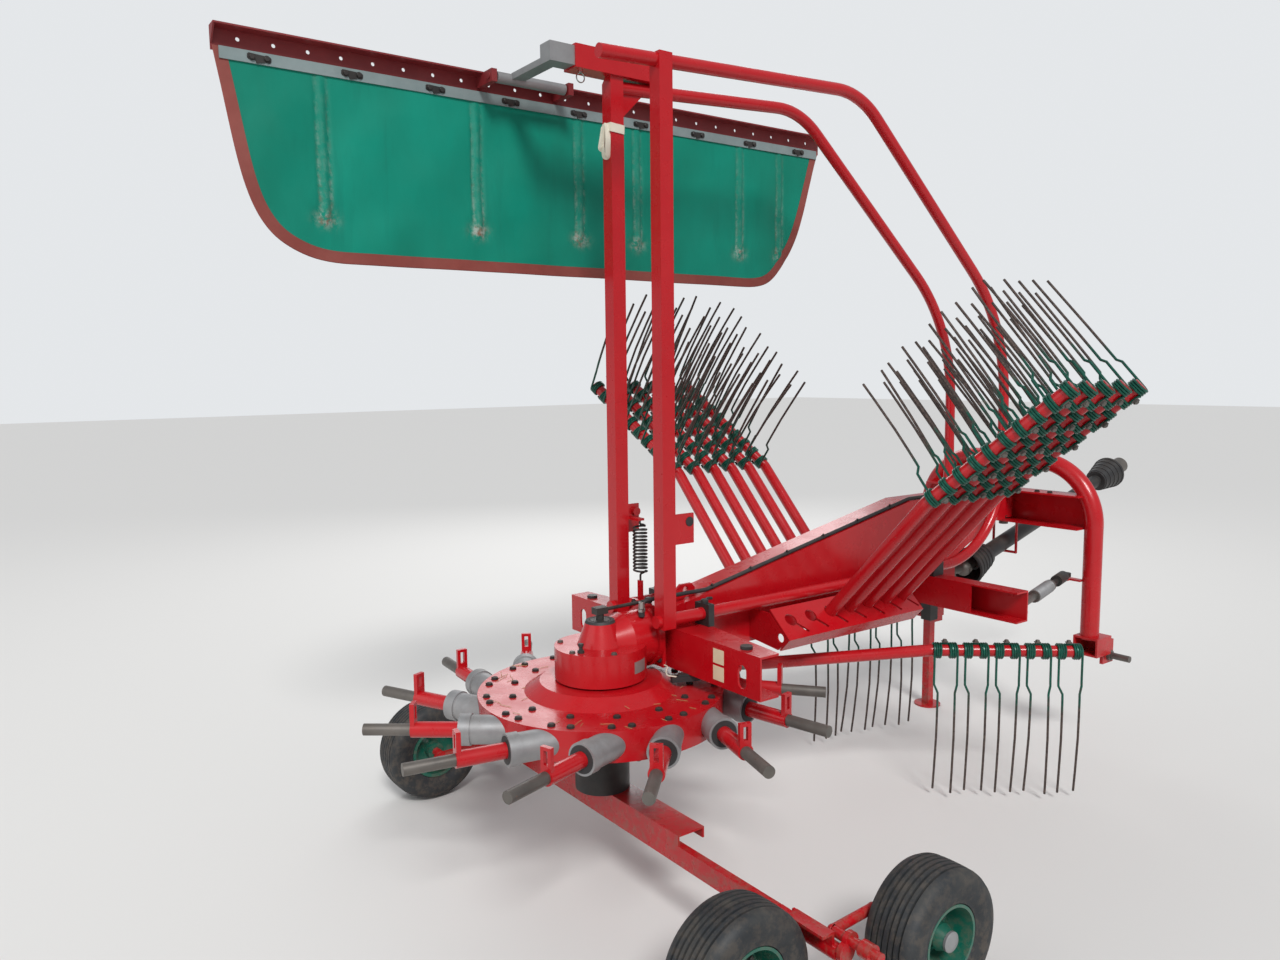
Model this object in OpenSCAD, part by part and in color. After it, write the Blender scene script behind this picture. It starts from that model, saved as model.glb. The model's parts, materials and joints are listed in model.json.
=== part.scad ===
// Rotary hay rake with one rotor, parked with its tine arms on the racks.
// Millimetres. The layout is drawn with the rotor axis at x = 0, forward along +X, left along +Y, ground at z = 0,
// and every sub-part is then shifted so that the origin is under the middle of the whole machine.

/* [Rotor] */
// Number of tine arm places round the rotor
arm_count = 13; // [9:1:15]
// Radius of the rotor rim
rim_r = 400; // [370:5:430]
// Height of the rim wall
rim_h = 95; // [85:1:110]
// Height of the tine arm axes above the ground
arm_z = 580; // [560:1:600]
// Offset of each arm axis from the rotor axis
arm_offset = 256; // [220:1:280]
// Length of an arm spigot
spigot_l = 146; // [121:1:181]
// Radius of the spigots that carry the arms
spigot_r = 18; // [15:0.5:20]
// Radius of the stub tubes
stub_r = 24; // [21:0.5:27]
// Radius of the bearing housings
housing_r = 44; // [38:1:48]
// Length of a bearing housing inside the rotor
housing_l = 150; // [130:1:170]
// Angle of the first mounted arm, from straight ahead
mounted_angle = -23.8; // [-30:0.1:-20]

/* [Tine arms] */
// Outer radius of the arm tube
arm_r = 22.5; // [20:0.5:26]
// Length of the inner stretch of an arm up to its bend
arm_inner = 730; // [700:5:780]
// Length of the outer stretch that carries the tines
arm_outer = 562; // [555:1:600]
// Angle of the bend in an arm
arm_bend = 16.3; // [0:0.1:30]
// Length of the stub that carries an arm
stub_l = 148.9; // [140:0.1:160]
// Distance from the bend to the first coil
coil_start = 28; // [26:1:36]
// Distance from coil to coil
coil_pitch = 57.5; // [52:0.5:58]
// Number of double tines on an arm
tine_pairs = 5; // [3:1:5]
// Thickness of the tine wire
wire = 9; // [7:0.5:10]
// Length of a tine below its arm
tine_l = 552; // [450:1:560]
// Sideways step of a tine at its kink
tine_step = 16; // [0:1:30]

/* [Gearbox] */
// Radius of the gearbox barrel
gearbox_r = 150; // [130:1:160]
// Height of the top of the gearbox barrel
gearbox_top = 772; // [760:1:790]
// Height of the drive shaft
drive_z = 770; // [750:1:780]

/* [Main beam] */
// Rear end of the beam
beam_rear = 200; // [190:1:220]
// Width of the beam
beam_w = 130; // [110:1:140]
// Thickness of the beam plates
beam_t = 8; // [5:1:12]
// Height of the beam's underside
beam_low = 690; // [670:1:700]
// Height of the beam's top at the rear
beam_rear_top = 862; // [850:1:880]
// Height of the beam's top at the front
beam_front_top = 1118; // [1110:1:1125]
// Where the rising top edge of the beam levels out
beam_level_x = 1480; // [1400:5:1550]

/* [Headstock] */
// Distance of the headstock pivot from the rotor axis
pivot_x = 2225; // [2200:1:2250]
// Radius of the pivot pin
pivot_r = 20; // [15:1:25]
// Plane of the arch
arch_x = 2240; // [2230:1:2260]
// Half of the spread of the arch legs
arch_half = 420; // [400:1:440]
// Height of the arch tube's centre line
arch_top = 1242; // [1220:1:1260]
// Radius of the arch tube
arch_r = 38; // [34:1:42]
// Bend radius of the arch
arch_bend = 265; // [220:5:300]
// Radius of the lower link pins
link_pin_r = 14; // [11:0.5:14.5]
// Length of the free part of a lower link pin
link_pin_l = 92; // [70:1:110]
// Height of the lower link pins
link_pin_z = 405; // [390:1:420]
// Radius of the top link pin
top_pin_r = 12.5; // [9.5:0.5:12.5]
// Gap between the top link plates
top_gap = 54; // [50:1:60]

/* [Guards] */
// Distance of the guard hinges from the middle
hinge_y = 130; // [125:1:135]
// Height of the guard hinges
hinge_z = 848; // [846:1:852]
// Radius of the guard tubes
guard_r = 21; // [18:0.5:22]
// Upper bend radius of the guard tubes
guard_bend = 300; // [200:10:320]
// Bend radius at the front of the guard tubes
guard_sweep = 700; // [500:10:720]
// Lower bend radius of the guard tubes
guard_foot = 370; // [280:10:400]
// Side of the square posts
post_w = 50; // [40:1:50]
// Middle of the posts along the machine
post_x = 168; // [160:1:175]
// Height of the upper bend at the front of the guards
guard_knee = 1832; // [1800:1:1860]
// Front of the guard loops
guard_front = 2000; // [1980:1:2010]

/* [Curtain] */
// Rear end of the curtain
curtain_rear = -990; // [-1020:1:-960]
// Length of the curtain
curtain_l = 2450; // [2300:10:2500]
// Height of the curtain's sheet
sheet_h = 575; // [500:1:580]
// Thickness of the curtain's sheet
sheet_t = 5; // [4:0.5:8]
// Distance of the curtain from the middle of the machine
curtain_y = 450; // [440:1:470]
// Height of the curtain rail
rail_h = 66; // [60:1:80]
// Height of the top of the curtain rail
rail_top = 2636; // [2620:1:2650]

/* [Racks] */
// Distance between stowed arms
rack_pitch = 99; // [90:1:105]
// Place of the rearmost keyhole
rack_first = 655; // [640:1:680]
// Number of keyholes in a rack
rack_holes = 7; // [5:1:7]
// Slope of the racks, and outward lean of the stowed arms
rack_slope = 43; // [40:1:46]
// Radius of the keyholes
keyhole_r = 24; // [23:0.5:26]
// Length of a stowed arm that stands above its rack
stow_above = 595; // [580:1:610]
// Roll of the stowed arms about their own axis
stow_roll = 12.4; // [8:0.1:16]

/* [Running gear] */
// Radius of the tyres
tyre_r = 188; // [180:1:195]
// Width of the tyres
tyre_w = 155; // [140:1:160]
// Radius of the rim flange
rim_flange_r = 98; // [90:1:105]
// Width of the axle tube
axle_w = 26; // [20:1:27]
// Height of the axle tube
axle_h = 58; // [50:1:60]
// Place of the axle tube's rear face along the machine
axle_x = -22; // [-22:1:-18]
// Height of the axle tube's underside
axle_z = 202; // [202:1:206]
// Place of the front wheels along the machine
front_wheel_x = 311; // [300:1:320]
// Distance of the front wheels from the middle
front_wheel_y = 1072; // [1060:1:1085]
// Place of the rear wheels along the machine
rear_wheel_x = -216; // [-230:1:-200]
// Distance of the rear wheels from the middle
rear_wheel_y = 904; // [895:1:915]

/* [Drive shaft] */
// Upward slope of the parked drive shaft
pto_slope = 16; // [14:0.5:18]
// Length of the drive shaft from its rear joint to its front end
pto_l = 1360; // [1250:10:1400]
// Radius of the shaft's guard tube
pto_tube_r = 35; // [30:1:38]

/* [Parking stand] */
// Place of the stand's leg along the machine
stand_x = 2167; // [2160:1:2172]
// Distance of the stand's leg from the middle
stand_y = 352; // [345:1:356]
// Side of the stand's leg
stand_w = 38; // [30:1:40]
// Radius of the stand's foot plate
stand_foot_r = 62; // [50:1:75]

/* [Hidden] */
$fn = 48;
fit = 0.4;
seam = 0.1;
column_r = 60;
core = 6;
arm_step = 360 / arm_count;
rim_top = arm_z + rim_h / 2;
rim_bottom = arm_z - rim_h / 2;
coil_in = arm_r + 0.3;
coil_out = coil_in + wire;
coil_half = 1.5 * wire;
stub_start = rim_r + 10.1;
spigot_start = stub_start + stub_l;
spigot_tip = spigot_start + spigot_l;
bend_reach = spigot_start + 30 + arm_inner;
pto_joint_x = 1935;
joint_r = 34;
yoke_r = 40;
pto_tip_x = pto_joint_x + pto_l * cos(pto_slope) + yoke_r * sin(pto_slope);
origin_x = (pto_tip_x + curtain_rear) / 2;
hinge_rear = post_x - 40;
rack_front = rack_first + (rack_holes - 1) * rack_pitch;
rack_in_y = 170;
rack_in_z = 826;
rack_w = 132;
rack_lip = 64;
rack_t = 6;
rack_end = 60;
foot_down = 56;
foot_v = foot_down + keyhole_r - arm_r - 0.3;
left_shift = 65;
side_top = 812;
channel_w = 72;
channel_t = 6;
sheet_top = rail_top - rail_h + 12;
sheet_low = rail_top - rail_h - sheet_h;
channel_z = rail_top - 34;
post_top = rail_top - 24;
channel_x = 5;
channel_l = 313;
slide_w = channel_w - 2 * channel_t - 2 * fit;
swing_y = 360;
swing_z = channel_z + 10;
swing_r = 18;
base_x = 218;
base_w = 76;
base_root = 130;
base_z = 672;
base_h = 136;
base_t = 7;
base_end = 523;
base_top = base_z + base_h;
buffer_x = 250;
buffer_y = 428;
buffer_r = 19;
plate_z = hinge_z + buffer_y - hinge_y;
plate_h = 98;
spring_y = 66;
spring_x = 212;
spring_low = 972;
spring_high = 1128;
spring_out = 26;
buffer_h = hinge_z - post_w / 2 - base_top - 5;
pad_r = 15;
nose_end = pivot_x - 88;
flange_t = 8;
outrigger_x = beam_level_x + 20;
saddle_l = 860;
hose_r = 7;
hook_z = drive_z + (arch_x - 6 - pto_joint_x) * tan(pto_slope) - (pto_tube_r + 0.4) / cos(pto_slope) - 6;
hose_y = beam_w / 2 - 13;
hose_rear_z = beam_rear_top + 41;
hose_grade = atan2(beam_front_top - beam_rear_top - 16, beam_level_x - beam_rear - 120);
hose_front_z = beam_front_top + (hose_r + 0.3) / cos(hose_grade);
hose_meet = beam_level_x - (hose_front_z - hose_rear_z) / tan(hose_grade);
hub_x = 28;
hub_z = 205;
hub_r = 22;
shaft_r = 15;
crank_r = 14;
crank_x = 50;
crank_z = 238;
saddle_h = 33;
axle_top = axle_z + axle_h;
stub_axle_r = 16;
arm_y = front_wheel_y - tyre_w / 2 - 8 - crank_r;
crank_path = [[crank_x, -1128, crank_z], [crank_x, -arm_y, crank_z], [200, -arm_y, crank_z + 6],
    [front_wheel_x, -arm_y, tyre_r]];
damper_tail = [outrigger_x + 96, 500, 752];
damper_eye = [2186, 332, 762];
cross_z = 962;
cross_h = 146;
wheel_table = [
    // side, x, y
    [-1, front_wheel_x, front_wheel_y],
    [1, front_wheel_x, front_wheel_y],
    [-1, rear_wheel_x, rear_wheel_y],
    [1, rear_wheel_x, rear_wheel_y]
];
red = "firebrick";
steel = "darkgray";
black = [0.08, 0.08, 0.08];
green = "seagreen";

// A straight round bar between two points
module rod(p, q, r) {
    v = q - p;
    translate(p)
        rotate([0, acos(v[2] / norm(v)), atan2(v[1], v[0])])
            cylinder(h = norm(v), r = r);
}

// A round bar bent in one plane, with its corner points in 2D and a radius for each bend
module pipe(points, bends, r) {
    n = len(points);
    dirs = [for (i = [0:n - 2]) (points[i + 1] - points[i]) / norm(points[i + 1] - points[i])];
    turns = [for (i = [1:n - 2]) let (a = dirs[i - 1], b = dirs[i]) atan2(a[0] * b[1] - a[1] * b[0], a * b)];
    cuts = concat([0], [for (i = [0:n - 3]) bends[i] * tan(abs(turns[i]) / 2)], [0]);
    for (i = [0:n - 2]) {
        a = points[i] + dirs[i] * cuts[i];
        b = points[i + 1] - dirs[i] * cuts[i + 1];
        translate([a[0], a[1], 0])
            rotate([0, 0, atan2(dirs[i][1], dirs[i][0])])
                rotate([0, 90, 0]) {
                    translate([0, 0, i > 0 ? seam : 0])
                        cylinder(h = norm(b - a) - (i > 0 ? seam : 0) - (i < n - 2 ? seam : 0), r = r);
                    if (i > 0)
                        translate([0, 0, -core]) cylinder(h = 2 * core, r = r - 1.5);
                    if (i < n - 2)
                        translate([0, 0, norm(b - a) - core]) cylinder(h = 2 * core, r = r - 1.5);
                }
    }
    for (i = [1:n - 2]) {
        turn = turns[i - 1];
        bend_r = bends[i - 1];
        side = sign(turn);
        heading = atan2(dirs[i - 1][1], dirs[i - 1][0]);
        start = points[i] - dirs[i - 1] * cuts[i];
        centre = start + side * bend_r * [-sin(heading), cos(heading)];
        translate([centre[0], centre[1], 0])
            rotate([0, 0, heading - side * 90 + min(0, turn)])
                rotate_extrude(angle = abs(turn))
                    translate([bend_r, 0])
                        circle(r = r);
    }
}

// Turns a shape drawn in the X and Z plane as X and Y upright, centred on y = 0
module upright(w) {
    rotate([90, 0, 0])
        linear_extrude(w, center = true)
            children();
}

module each_side() {
    children();
    mirror([0, 1, 0]) children();
}

// The side view of the main beam
module beam_outline() {
    polygon([[beam_rear, beam_low], [1640, beam_low], [1780, beam_low + 30], [1780, beam_low + 165],
        [2060, cross_z + 16], [nose_end, cross_z + 16], [nose_end, beam_front_top],
        [beam_level_x, beam_front_top], [beam_rear + 120, beam_rear_top + 16], [beam_rear, beam_rear_top]]);
}

module main_beam() color(red) {
    difference() {
        upright(beam_w) beam_outline();
        upright(beam_w - 2 * beam_t)
            intersection() {
                translate([beam_t, beam_t]) beam_outline();
                translate([-beam_t, -beam_t]) beam_outline();
                translate([beam_t, -beam_t]) beam_outline();
                translate([-beam_t, beam_t]) beam_outline();
            }
        // the drive shaft comes out of the lower front end
        translate([1700, 0, drive_z])
            rotate([0, 90, 0])
                cylinder(h = 200, r = 45);
    }
    // flange at the gearbox
    translate([beam_rear - 12, -88, beam_low - 14])
        cube([12, 176, beam_rear_top - beam_low + 30]);
    // lifting plate with its hole
    translate([0, -6, 0])
        upright(10)
            difference() {
                polygon([[300, 870], [390, 888], [390, 906], [372, 924], [326, 924], [300, 900]]);
                translate([348, 902]) circle(r = 12);
            }
    // lug of the guard spring's lower hook
    translate([spring_x - 5, beam_w / 2 - 8, beam_rear_top - 20])
        cube([10, 20, spring_low - 30.3 - beam_rear_top + 20]);
    // nose with the sleeve of the headstock pivot
    difference() {
        union() {
            translate([pivot_x, 0, cross_z + flange_t + 6])
                cylinder(h = cross_h - 2 * flange_t - 12, r = pivot_r + 17);
            translate([nose_end - 4, -36, cross_z + flange_t + 16])
                cube([pivot_x - nose_end - 16, 72, cross_h - 2 * flange_t - 32]);
        }
        translate([pivot_x, 0, cross_z])
            cylinder(h = cross_h, r = pivot_r + fit);
    }
    // outriggers that carry the front guard bearings and the steering springs
    each_side()
        translate([outrigger_x, -540, 700])
            difference() {
                cube([72, 540 - beam_w / 2, 118]);
                translate([-1, -1, 6]) cube([67, 200, 106]);
                translate([6, 198, 6]) cube([60, 540 - beam_w / 2 - 198, 106]);
            }
    // lugs at the ends of the outriggers
    each_side()
        for (z = [damper_tail[2] - 33, damper_tail[2] + 25])
            translate([outrigger_x + 71, -damper_tail[1] - 16, z])
                cube([41, 32, 8]);
}

module gearbox() color(red) {
    translate([0, 0, rim_top + 40]) cylinder(h = gearbox_top - rim_top - 40, r = gearbox_r);
    translate([0, 0, gearbox_top - 0.5]) cylinder(h = 73, r1 = 76, r2 = 50);
    translate([20, 0, drive_z])
        rotate([0, 90, 0])
            rotate_extrude()
                polygon([[0, 0], [70, 0], [92, 60], [92, beam_rear - 52], [102, beam_rear - 52],
                    [102, beam_rear - 32], [0, beam_rear - 32]]);
}

module cam_lever() color(black) {
    translate([0, 0, gearbox_top + 72.8]) cylinder(h = 8, r = 32);
    translate([0, 0, gearbox_top + 77.5]) cylinder(h = 38, r = 13);
    translate([-22, -16, gearbox_top + 100]) cube([44, 32, 22]);
    rod([20, 0, gearbox_top + 111], [beam_rear - 6, 0, beam_rear_top + 24], 6);
    translate([beam_rear - 12, -10, beam_rear_top + 16.3]) cube([16, 20, 18]);
}

module input_shaft() color(steel)
    translate([1780.3, 0, drive_z])
        rotate([0, 90, 0]) {
            cylinder(h = 12, r = 62);
            cylinder(h = pto_joint_x - 1780.3 - joint_r - 0.5, r = 17.4);
        }

module guard_bases() color(red) {
    each_side()
        difference() {
            translate([0, 0, base_z])
                linear_extrude(base_h)
                    polygon([[base_x, -beam_w / 2], [base_x, -base_end], [base_x + base_w, -base_end],
                        [base_x + base_root, -beam_w / 2]]);
            translate([base_x + base_t, -base_end - 1, base_z + base_t])
                cube([base_root, base_end - beam_w / 2 + 2, base_h - 2 * base_t]);
            translate([base_x - 1, -base_end + 80, base_z + base_h * 0.42])
                rotate([0, 90, 0])
                    linear_extrude(base_t + 2) {
                        translate([-18, 0]) circle(r = 19);
                        translate([18, 0]) circle(r = 19);
                        translate([-18, -19]) square([36, 38]);
                    }
        }
}

module guard_blocks() color(black) {
    each_side()
        translate([buffer_x, -buffer_y, base_top])
            cylinder(h = buffer_h, r = buffer_r);
    each_side() {
        difference() {
            translate([321, -hinge_y - 36, base_top]) cube([24, 72, hinge_z + 34 - base_top]);
            translate([320, -hinge_y, hinge_z]) rotate([0, 90, 0]) cylinder(h = 26, r = guard_r + fit);
        }
        difference() {
            translate([outrigger_x + 5, -hinge_y - 34, 818]) cube([62, 68, hinge_z + 32 - 818]);
            translate([outrigger_x + 4, -hinge_y, hinge_z]) rotate([0, 90, 0]) cylinder(h = 64, r = guard_r + fit);
        }
    }
}

// Hose along the beam's top edge, from its fitting on the gearbox
module hydraulic_hose() color(black)
    translate([0, -hose_y, 0]) {
        rotate([90, 0, 0])
            pipe([[130, hose_rear_z - 32], [130, hose_rear_z], [hose_meet, hose_rear_z], [beam_level_x, hose_front_z],
                [nose_end - 70, hose_front_z]], [24, 80, 30], hose_r);
        translate([130, 0, drive_z + 82.4]) cylinder(h = 26, r = 10);
        translate([nose_end - 90, 0, hose_front_z]) rotate([0, 90, 0]) cylinder(h = 40, r = hose_r + 0.1);
    }

// One rack plate, with u along the machine and v down the slope
module rack_plate(lean)
    difference() {
        translate([rack_first - rack_end, 0]) square([rack_front - rack_first + 2 * rack_end, rack_w]);
        for (i = [0:rack_holes - 1])
            translate([rack_first + i * rack_pitch, foot_down]) {
                circle(r = keyhole_r);
                rotate([0, 0, -lean])
                    translate([-5, 0])
                        square([10, 76]);
            }
    }

module storage_racks() color(red)
    for (side = [-1, 1])
        translate([side > 0 ? left_shift : 0, 0, 0])
            mirror([0, (side + 1) / 2, 0]) {
                translate([0, -rack_in_y, rack_in_z])
                    rotate([180 + rack_slope, 0, 0]) {
                        linear_extrude(rack_t) rack_plate(-side * 40);
                        translate([rack_first - rack_end, rack_w - rack_t, 0])
                            cube([rack_front - rack_first + 2 * rack_end, rack_t, rack_lip]);
                    }
                for (x = [rack_first - rack_end, rack_front + rack_end - rack_t])
                    translate([x, 0, 0])
                        rotate([90, 0, 90])
                            linear_extrude(rack_t)
                                difference() {
                                    polygon([[-beam_w / 2, 706], [-beam_w / 2, side_top], [-rack_in_y, side_top],
                                        [-rack_in_y - rack_w * cos(rack_slope) + 8,
                                            rack_in_z - rack_w * sin(rack_slope) - 4],
                                        [-rack_in_y - 40, 690]]);
                                    translate([-rack_in_y - 52, rack_in_z - 91]) circle(r = 16);
                                }
            }

// The tube of one arm: inner end at the origin, outward along X, tines down along -Z
module arm_tube() color(red)
    difference() {
        pipe([[0, 0], [arm_inner, 0], [arm_inner + arm_outer * cos(arm_bend), -arm_outer * sin(arm_bend)]],
            [50], arm_r);
        translate([-1, 0, 0])
            rotate([0, 90, 0])
                cylinder(h = 130, r = spigot_r + fit);
    }

// One double tine: two coils side by side, their bridge and their two prongs
module double_tine() {
    for (s = [-1, 1])
        translate([s * coil_pitch / 2, 0, 0]) {
            rotate([0, 90, 0])
                rotate_extrude()
                    polygon([[coil_in, -coil_half], [coil_in, coil_half], [coil_out - 2, coil_half],
                        [coil_out, wire], [coil_out - 2, wire / 2], [coil_out, 0], [coil_out - 2, -wire / 2],
                        [coil_out, -wire], [coil_out - 2, -coil_half]]);
            translate([s * (coil_half + wire / 2 + 0.2), 0, 0])
                rotate([90, 0, 90])
                    linear_extrude(wire, center = true)
                        polygon([[-coil_in, 8], [-coil_in, -125], [-coil_in - tine_step, -155],
                            [-coil_in - tine_step, -tine_l], [-coil_out - tine_step, -tine_l],
                            [-coil_out - tine_step, -152], [-coil_out, -122], [-coil_out, 8]]);
        }
    translate([-coil_pitch / 2 + coil_half + 0.2, -7, coil_in])
        cube([coil_pitch - 2 * coil_half - 0.4, 14, wire]);
}

module arm_tines() color(green)
    translate([arm_inner, 0, 0])
        rotate([0, 0, -arm_bend])
            for (i = [0:tine_pairs - 1])
                translate([coil_start + (2 * i + 0.5) * coil_pitch, 0, 0])
                    double_tine();

module at_rotor(angle)
    rotate([0, 0, angle])
        translate([bend_reach - arm_inner, arm_offset, arm_z])
            children();

// Places arms on a rack: side -1 is right, first and last are keyhole numbers
module on_rack(side, first, last)
    for (i = [first:last])
        translate([rack_first + i * rack_pitch + (side > 0 ? left_shift : 0),
                side * (rack_in_y + foot_v * cos(rack_slope)), rack_in_z - foot_v * sin(rack_slope)])
            rotate([0, 0, side < 0 ? 0 : 180])
                rotate([rack_slope, 0, 0])
                    rotate([0, 0, 90 - stow_roll])
                        rotate([0, -90, 0])
                            translate([stow_above - arm_inner, 0, 0])
                                children();

module stowed_arms() {
    on_rack(-1, 2, 6) arm_tube();
    on_rack(1, 1, 6) arm_tube();
}

module stowed_tines_right() on_rack(-1, 2, 6) arm_tines();
module stowed_tines_left() on_rack(1, 1, 6) arm_tines();

module each_mounted() for (i = [0:1]) at_rotor(mounted_angle + i * arm_step) children();

module mounted_arms() each_mounted() arm_tube();
module mounted_tines() each_mounted() arm_tines();

module cam_housing() color(black) {
    translate([0, 0, axle_top + saddle_h]) cylinder(h = rim_bottom - 60 - axle_top - saddle_h, r = 90);
    translate([0, 0, rim_bottom - 60]) cylinder(h = 50, r = 240);
    translate([0, 0, rim_bottom - 10]) cylinder(h = rim_top + 40 - rim_bottom + 10, r = column_r);
}

module axle_beam() color(red) {
    translate([axle_x, -885, axle_z]) cube([axle_w, 1770, axle_h]);
    // saddle that the rotor's column stands on
    translate([axle_x, -saddle_l / 2, axle_top - 1])
        difference() {
            cube([100, saddle_l, saddle_h + 1]);
            translate([6, -1, -1]) cube([88, 300, saddle_h - 4]);
            translate([6, saddle_l - 299, -1]) cube([88, 300, saddle_h - 4]);
        }
    // sleeves of the tandem rockers, under the axle's top strip
    each_side() {
        translate([axle_x, -1005, axle_top - 8]) cube([42, 130, 8]);
        translate([axle_x + 34, -1005, hub_z + 14]) cube([8, 140, axle_top - hub_z - 15]);
        difference() {
            translate([hub_x, -1019, hub_z]) rotate([-90, 0, 0]) cylinder(h = 130, r = hub_r);
            translate([hub_x, -1020, hub_z]) rotate([-90, 0, 0]) cylinder(h = 132, r = shaft_r + fit);
        }
    }
}

module tandem_rockers() color(red)
    each_side() {
        translate([hub_x, -1036, hub_z]) rotate([-90, 0, 0]) cylinder(h = 248, r = shaft_r);
        translate([hub_x + 6, -1036, hub_z + 8]) rotate([-90, 0, 0]) cylinder(h = 14, r = 28);
        translate([crank_x, -1036, crank_z]) rotate([-90, 0, 0]) cylinder(h = 14, r = 24);
        translate([crank_x, -1104, crank_z]) rotate([-90, 0, 0]) cylinder(h = 34, r = 23);
        // rear arm, on the inner side of the rear wheel and under the axle
        translate([0, -788, 0])
            rotate([90, 0, 0])
                linear_extrude(26)
                    polygon([[hub_x + 24, hub_z + 16], [hub_x + 24, 160], [rear_wheel_x, tyre_r - 28],
                        [rear_wheel_x - 26, tyre_r - 4], [rear_wheel_x - 6, axle_z - 6],
                        [axle_x + axle_w + 5, axle_z - 6], [axle_x + axle_w + 5, hub_z + 16]]);
        translate([rear_wheel_x, -rear_wheel_y - 62, tyre_r])
            rotate([-90, 0, 0])
                cylinder(h = rear_wheel_y + 62 - 795, r = stub_axle_r);
        // front arm, a bent bar on the inner side of the front wheel
        for (i = [0:len(crank_path) - 2])
            rod(crank_path[i], crank_path[i + 1], crank_r);
        for (i = [1:len(crank_path) - 1])
            translate(crank_path[i]) sphere(r = crank_r + 1);
        translate([front_wheel_x, -front_wheel_y - 62, tyre_r])
            rotate([-90, 0, 0])
                cylinder(h = front_wheel_y + 62 - arm_y, r = stub_axle_r);
    }

module rotor_housing() color(red)
    rotate_extrude()
        polygon([[column_r + fit, rim_bottom], [rim_r, rim_bottom], [rim_r, rim_top], [250, rim_top],
            [200, rim_top + 32], [column_r + fit, rim_top + 35]]);

module each_arm() for (i = [0:arm_count - 1]) rotate([0, 0, mounted_angle + i * arm_step]) children();

module bearing_housings() color(steel)
    each_arm()
        difference() {
            translate([0, arm_offset, arm_z])
                rotate([0, 90, 0]) {
                    translate([0, 0, rim_r - 25 - housing_l]) cylinder(h = housing_l, r = housing_r);
                    translate([0, 0, rim_r - 25]) cylinder(h = 35, r = housing_r + 4);
                }
            translate([0, 0, rim_bottom - 1]) cylinder(h = rim_h + 2, r = rim_r + 0.1);
        }

module stub_arms() color(red)
    each_arm() {
        translate([stub_start, arm_offset, arm_z])
            rotate([0, 90, 0])
                cylinder(h = spigot_start - stub_start, r = stub_r);
        // upright slotted fork that the arm's pin sits in
        translate([spigot_start - 14, arm_offset - 18, arm_z - 2])
            difference() {
                cube([14, 36, 86]);
                translate([-1, 11, 36]) cube([16, 14, 40]);
            }
    }

module spigots() color(steel)
    each_arm()
        translate([spigot_start + 0.1, arm_offset, arm_z])
            rotate([0, 90, 0])
                cylinder(h = spigot_tip - spigot_start, r = spigot_r);

// Loop of one guard, drawn at the right side
module guard_loop(points) {
    translate([0, -hinge_y, 0])
        rotate([90, 0, 0])
            pipe(points, [guard_bend, guard_sweep, guard_foot], guard_r);
    translate([post_x + post_w / 2 - 1, -hinge_y - post_w / 2, plate_z - plate_h / 2])
        cube([76, 7, plate_h]);
    translate([buffer_x, -hinge_y - post_w / 2, plate_z + 22])
        rotate([-90, 0, 0])
            translate([0, 0, 7]) cylinder(h = 14, r = pad_r);
}

module guard_right() color(red) {
    guard_loop([[-60, rail_top - 56], [1065, rail_top - 2], [guard_front, guard_knee], [guard_front, hinge_z],
        [hinge_rear, hinge_z]]);
    translate([post_x - post_w / 2, -hinge_y - post_w / 2, hinge_z - post_w / 2])
        cube([post_w, post_w, post_top - hinge_z + post_w / 2]);
}

module guard_left() color(red) {
    mirror([0, 1, 0])
        guard_loop([[post_x, rail_top - 64], [1024, rail_top - 12], [guard_front - 12, guard_knee], [guard_front - 12, hinge_z],
            [hinge_rear, hinge_z]]);
    difference() {
        translate([post_x - post_w / 2, hinge_y - post_w / 2, hinge_z - post_w / 2])
            cube([post_w, post_w, channel_z + 1 - hinge_z + post_w / 2]);
        translate([post_x - post_w, hinge_y + 6, channel_z])
            rotate([-45, 0, 0])
                cube([2 * post_w, 60, 60]);
    }
    // gusset between the post and the upper tube
    translate([0, hinge_y, 0])
        upright(8)
            polygon([[post_x + post_w / 2 - 1, rail_top - 166], [post_x + post_w / 2 - 1, rail_top - 78],
                [post_x + post_w / 2 + 95, rail_top - 72]]);
    // bracket of the guard spring's upper hook
    translate([post_x + post_w / 2 - 1, hinge_y - post_w / 2, spring_high + 20.3])
        cube([spring_x - post_x - post_w / 2 + 14, 40, 8]);
    translate([spring_x - 13, spring_y - 8, spring_high + 20.3])
        cube([26, hinge_y - post_w / 2 - spring_y + 9, 8]);
    translate([channel_x, hinge_y - channel_w / 2, channel_z])
        difference() {
            cube([channel_l, channel_w, channel_w]);
            translate([-1, channel_t, channel_t])
                cube([channel_l + 2, channel_w - 2 * channel_t, channel_w - 2 * channel_t]);
        }
}

module guard_spring() color(steel) {
    translate([spring_x, spring_y, spring_low]) cylinder(h = spring_high - spring_low, r = spring_out);
    translate([spring_x, spring_y, spring_low - 30]) cylinder(h = 30, r = 5);
    translate([spring_x, spring_y, spring_high]) cylinder(h = 20, r = 5);
}

module curtain_arm() color(steel) {
    translate([channel_x - 90, hinge_y - slide_w / 2, channel_z + channel_t + fit])
        cube([90 + channel_l - 100, slide_w, slide_w]);
    translate([channel_x - 90, hinge_y + slide_w / 2 - 1, channel_z + channel_t + fit])
        cube([46, swing_y - hinge_y - slide_w / 2 - 13, 20]);
    difference() {
        translate([channel_x - 140, swing_y, swing_z]) rotate([0, 90, 0]) cylinder(h = 260, r = swing_r);
        translate([channel_x - 141, swing_y, swing_z]) rotate([0, 90, 0]) cylinder(h = 262, r = 10 + fit);
    }
}

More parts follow.
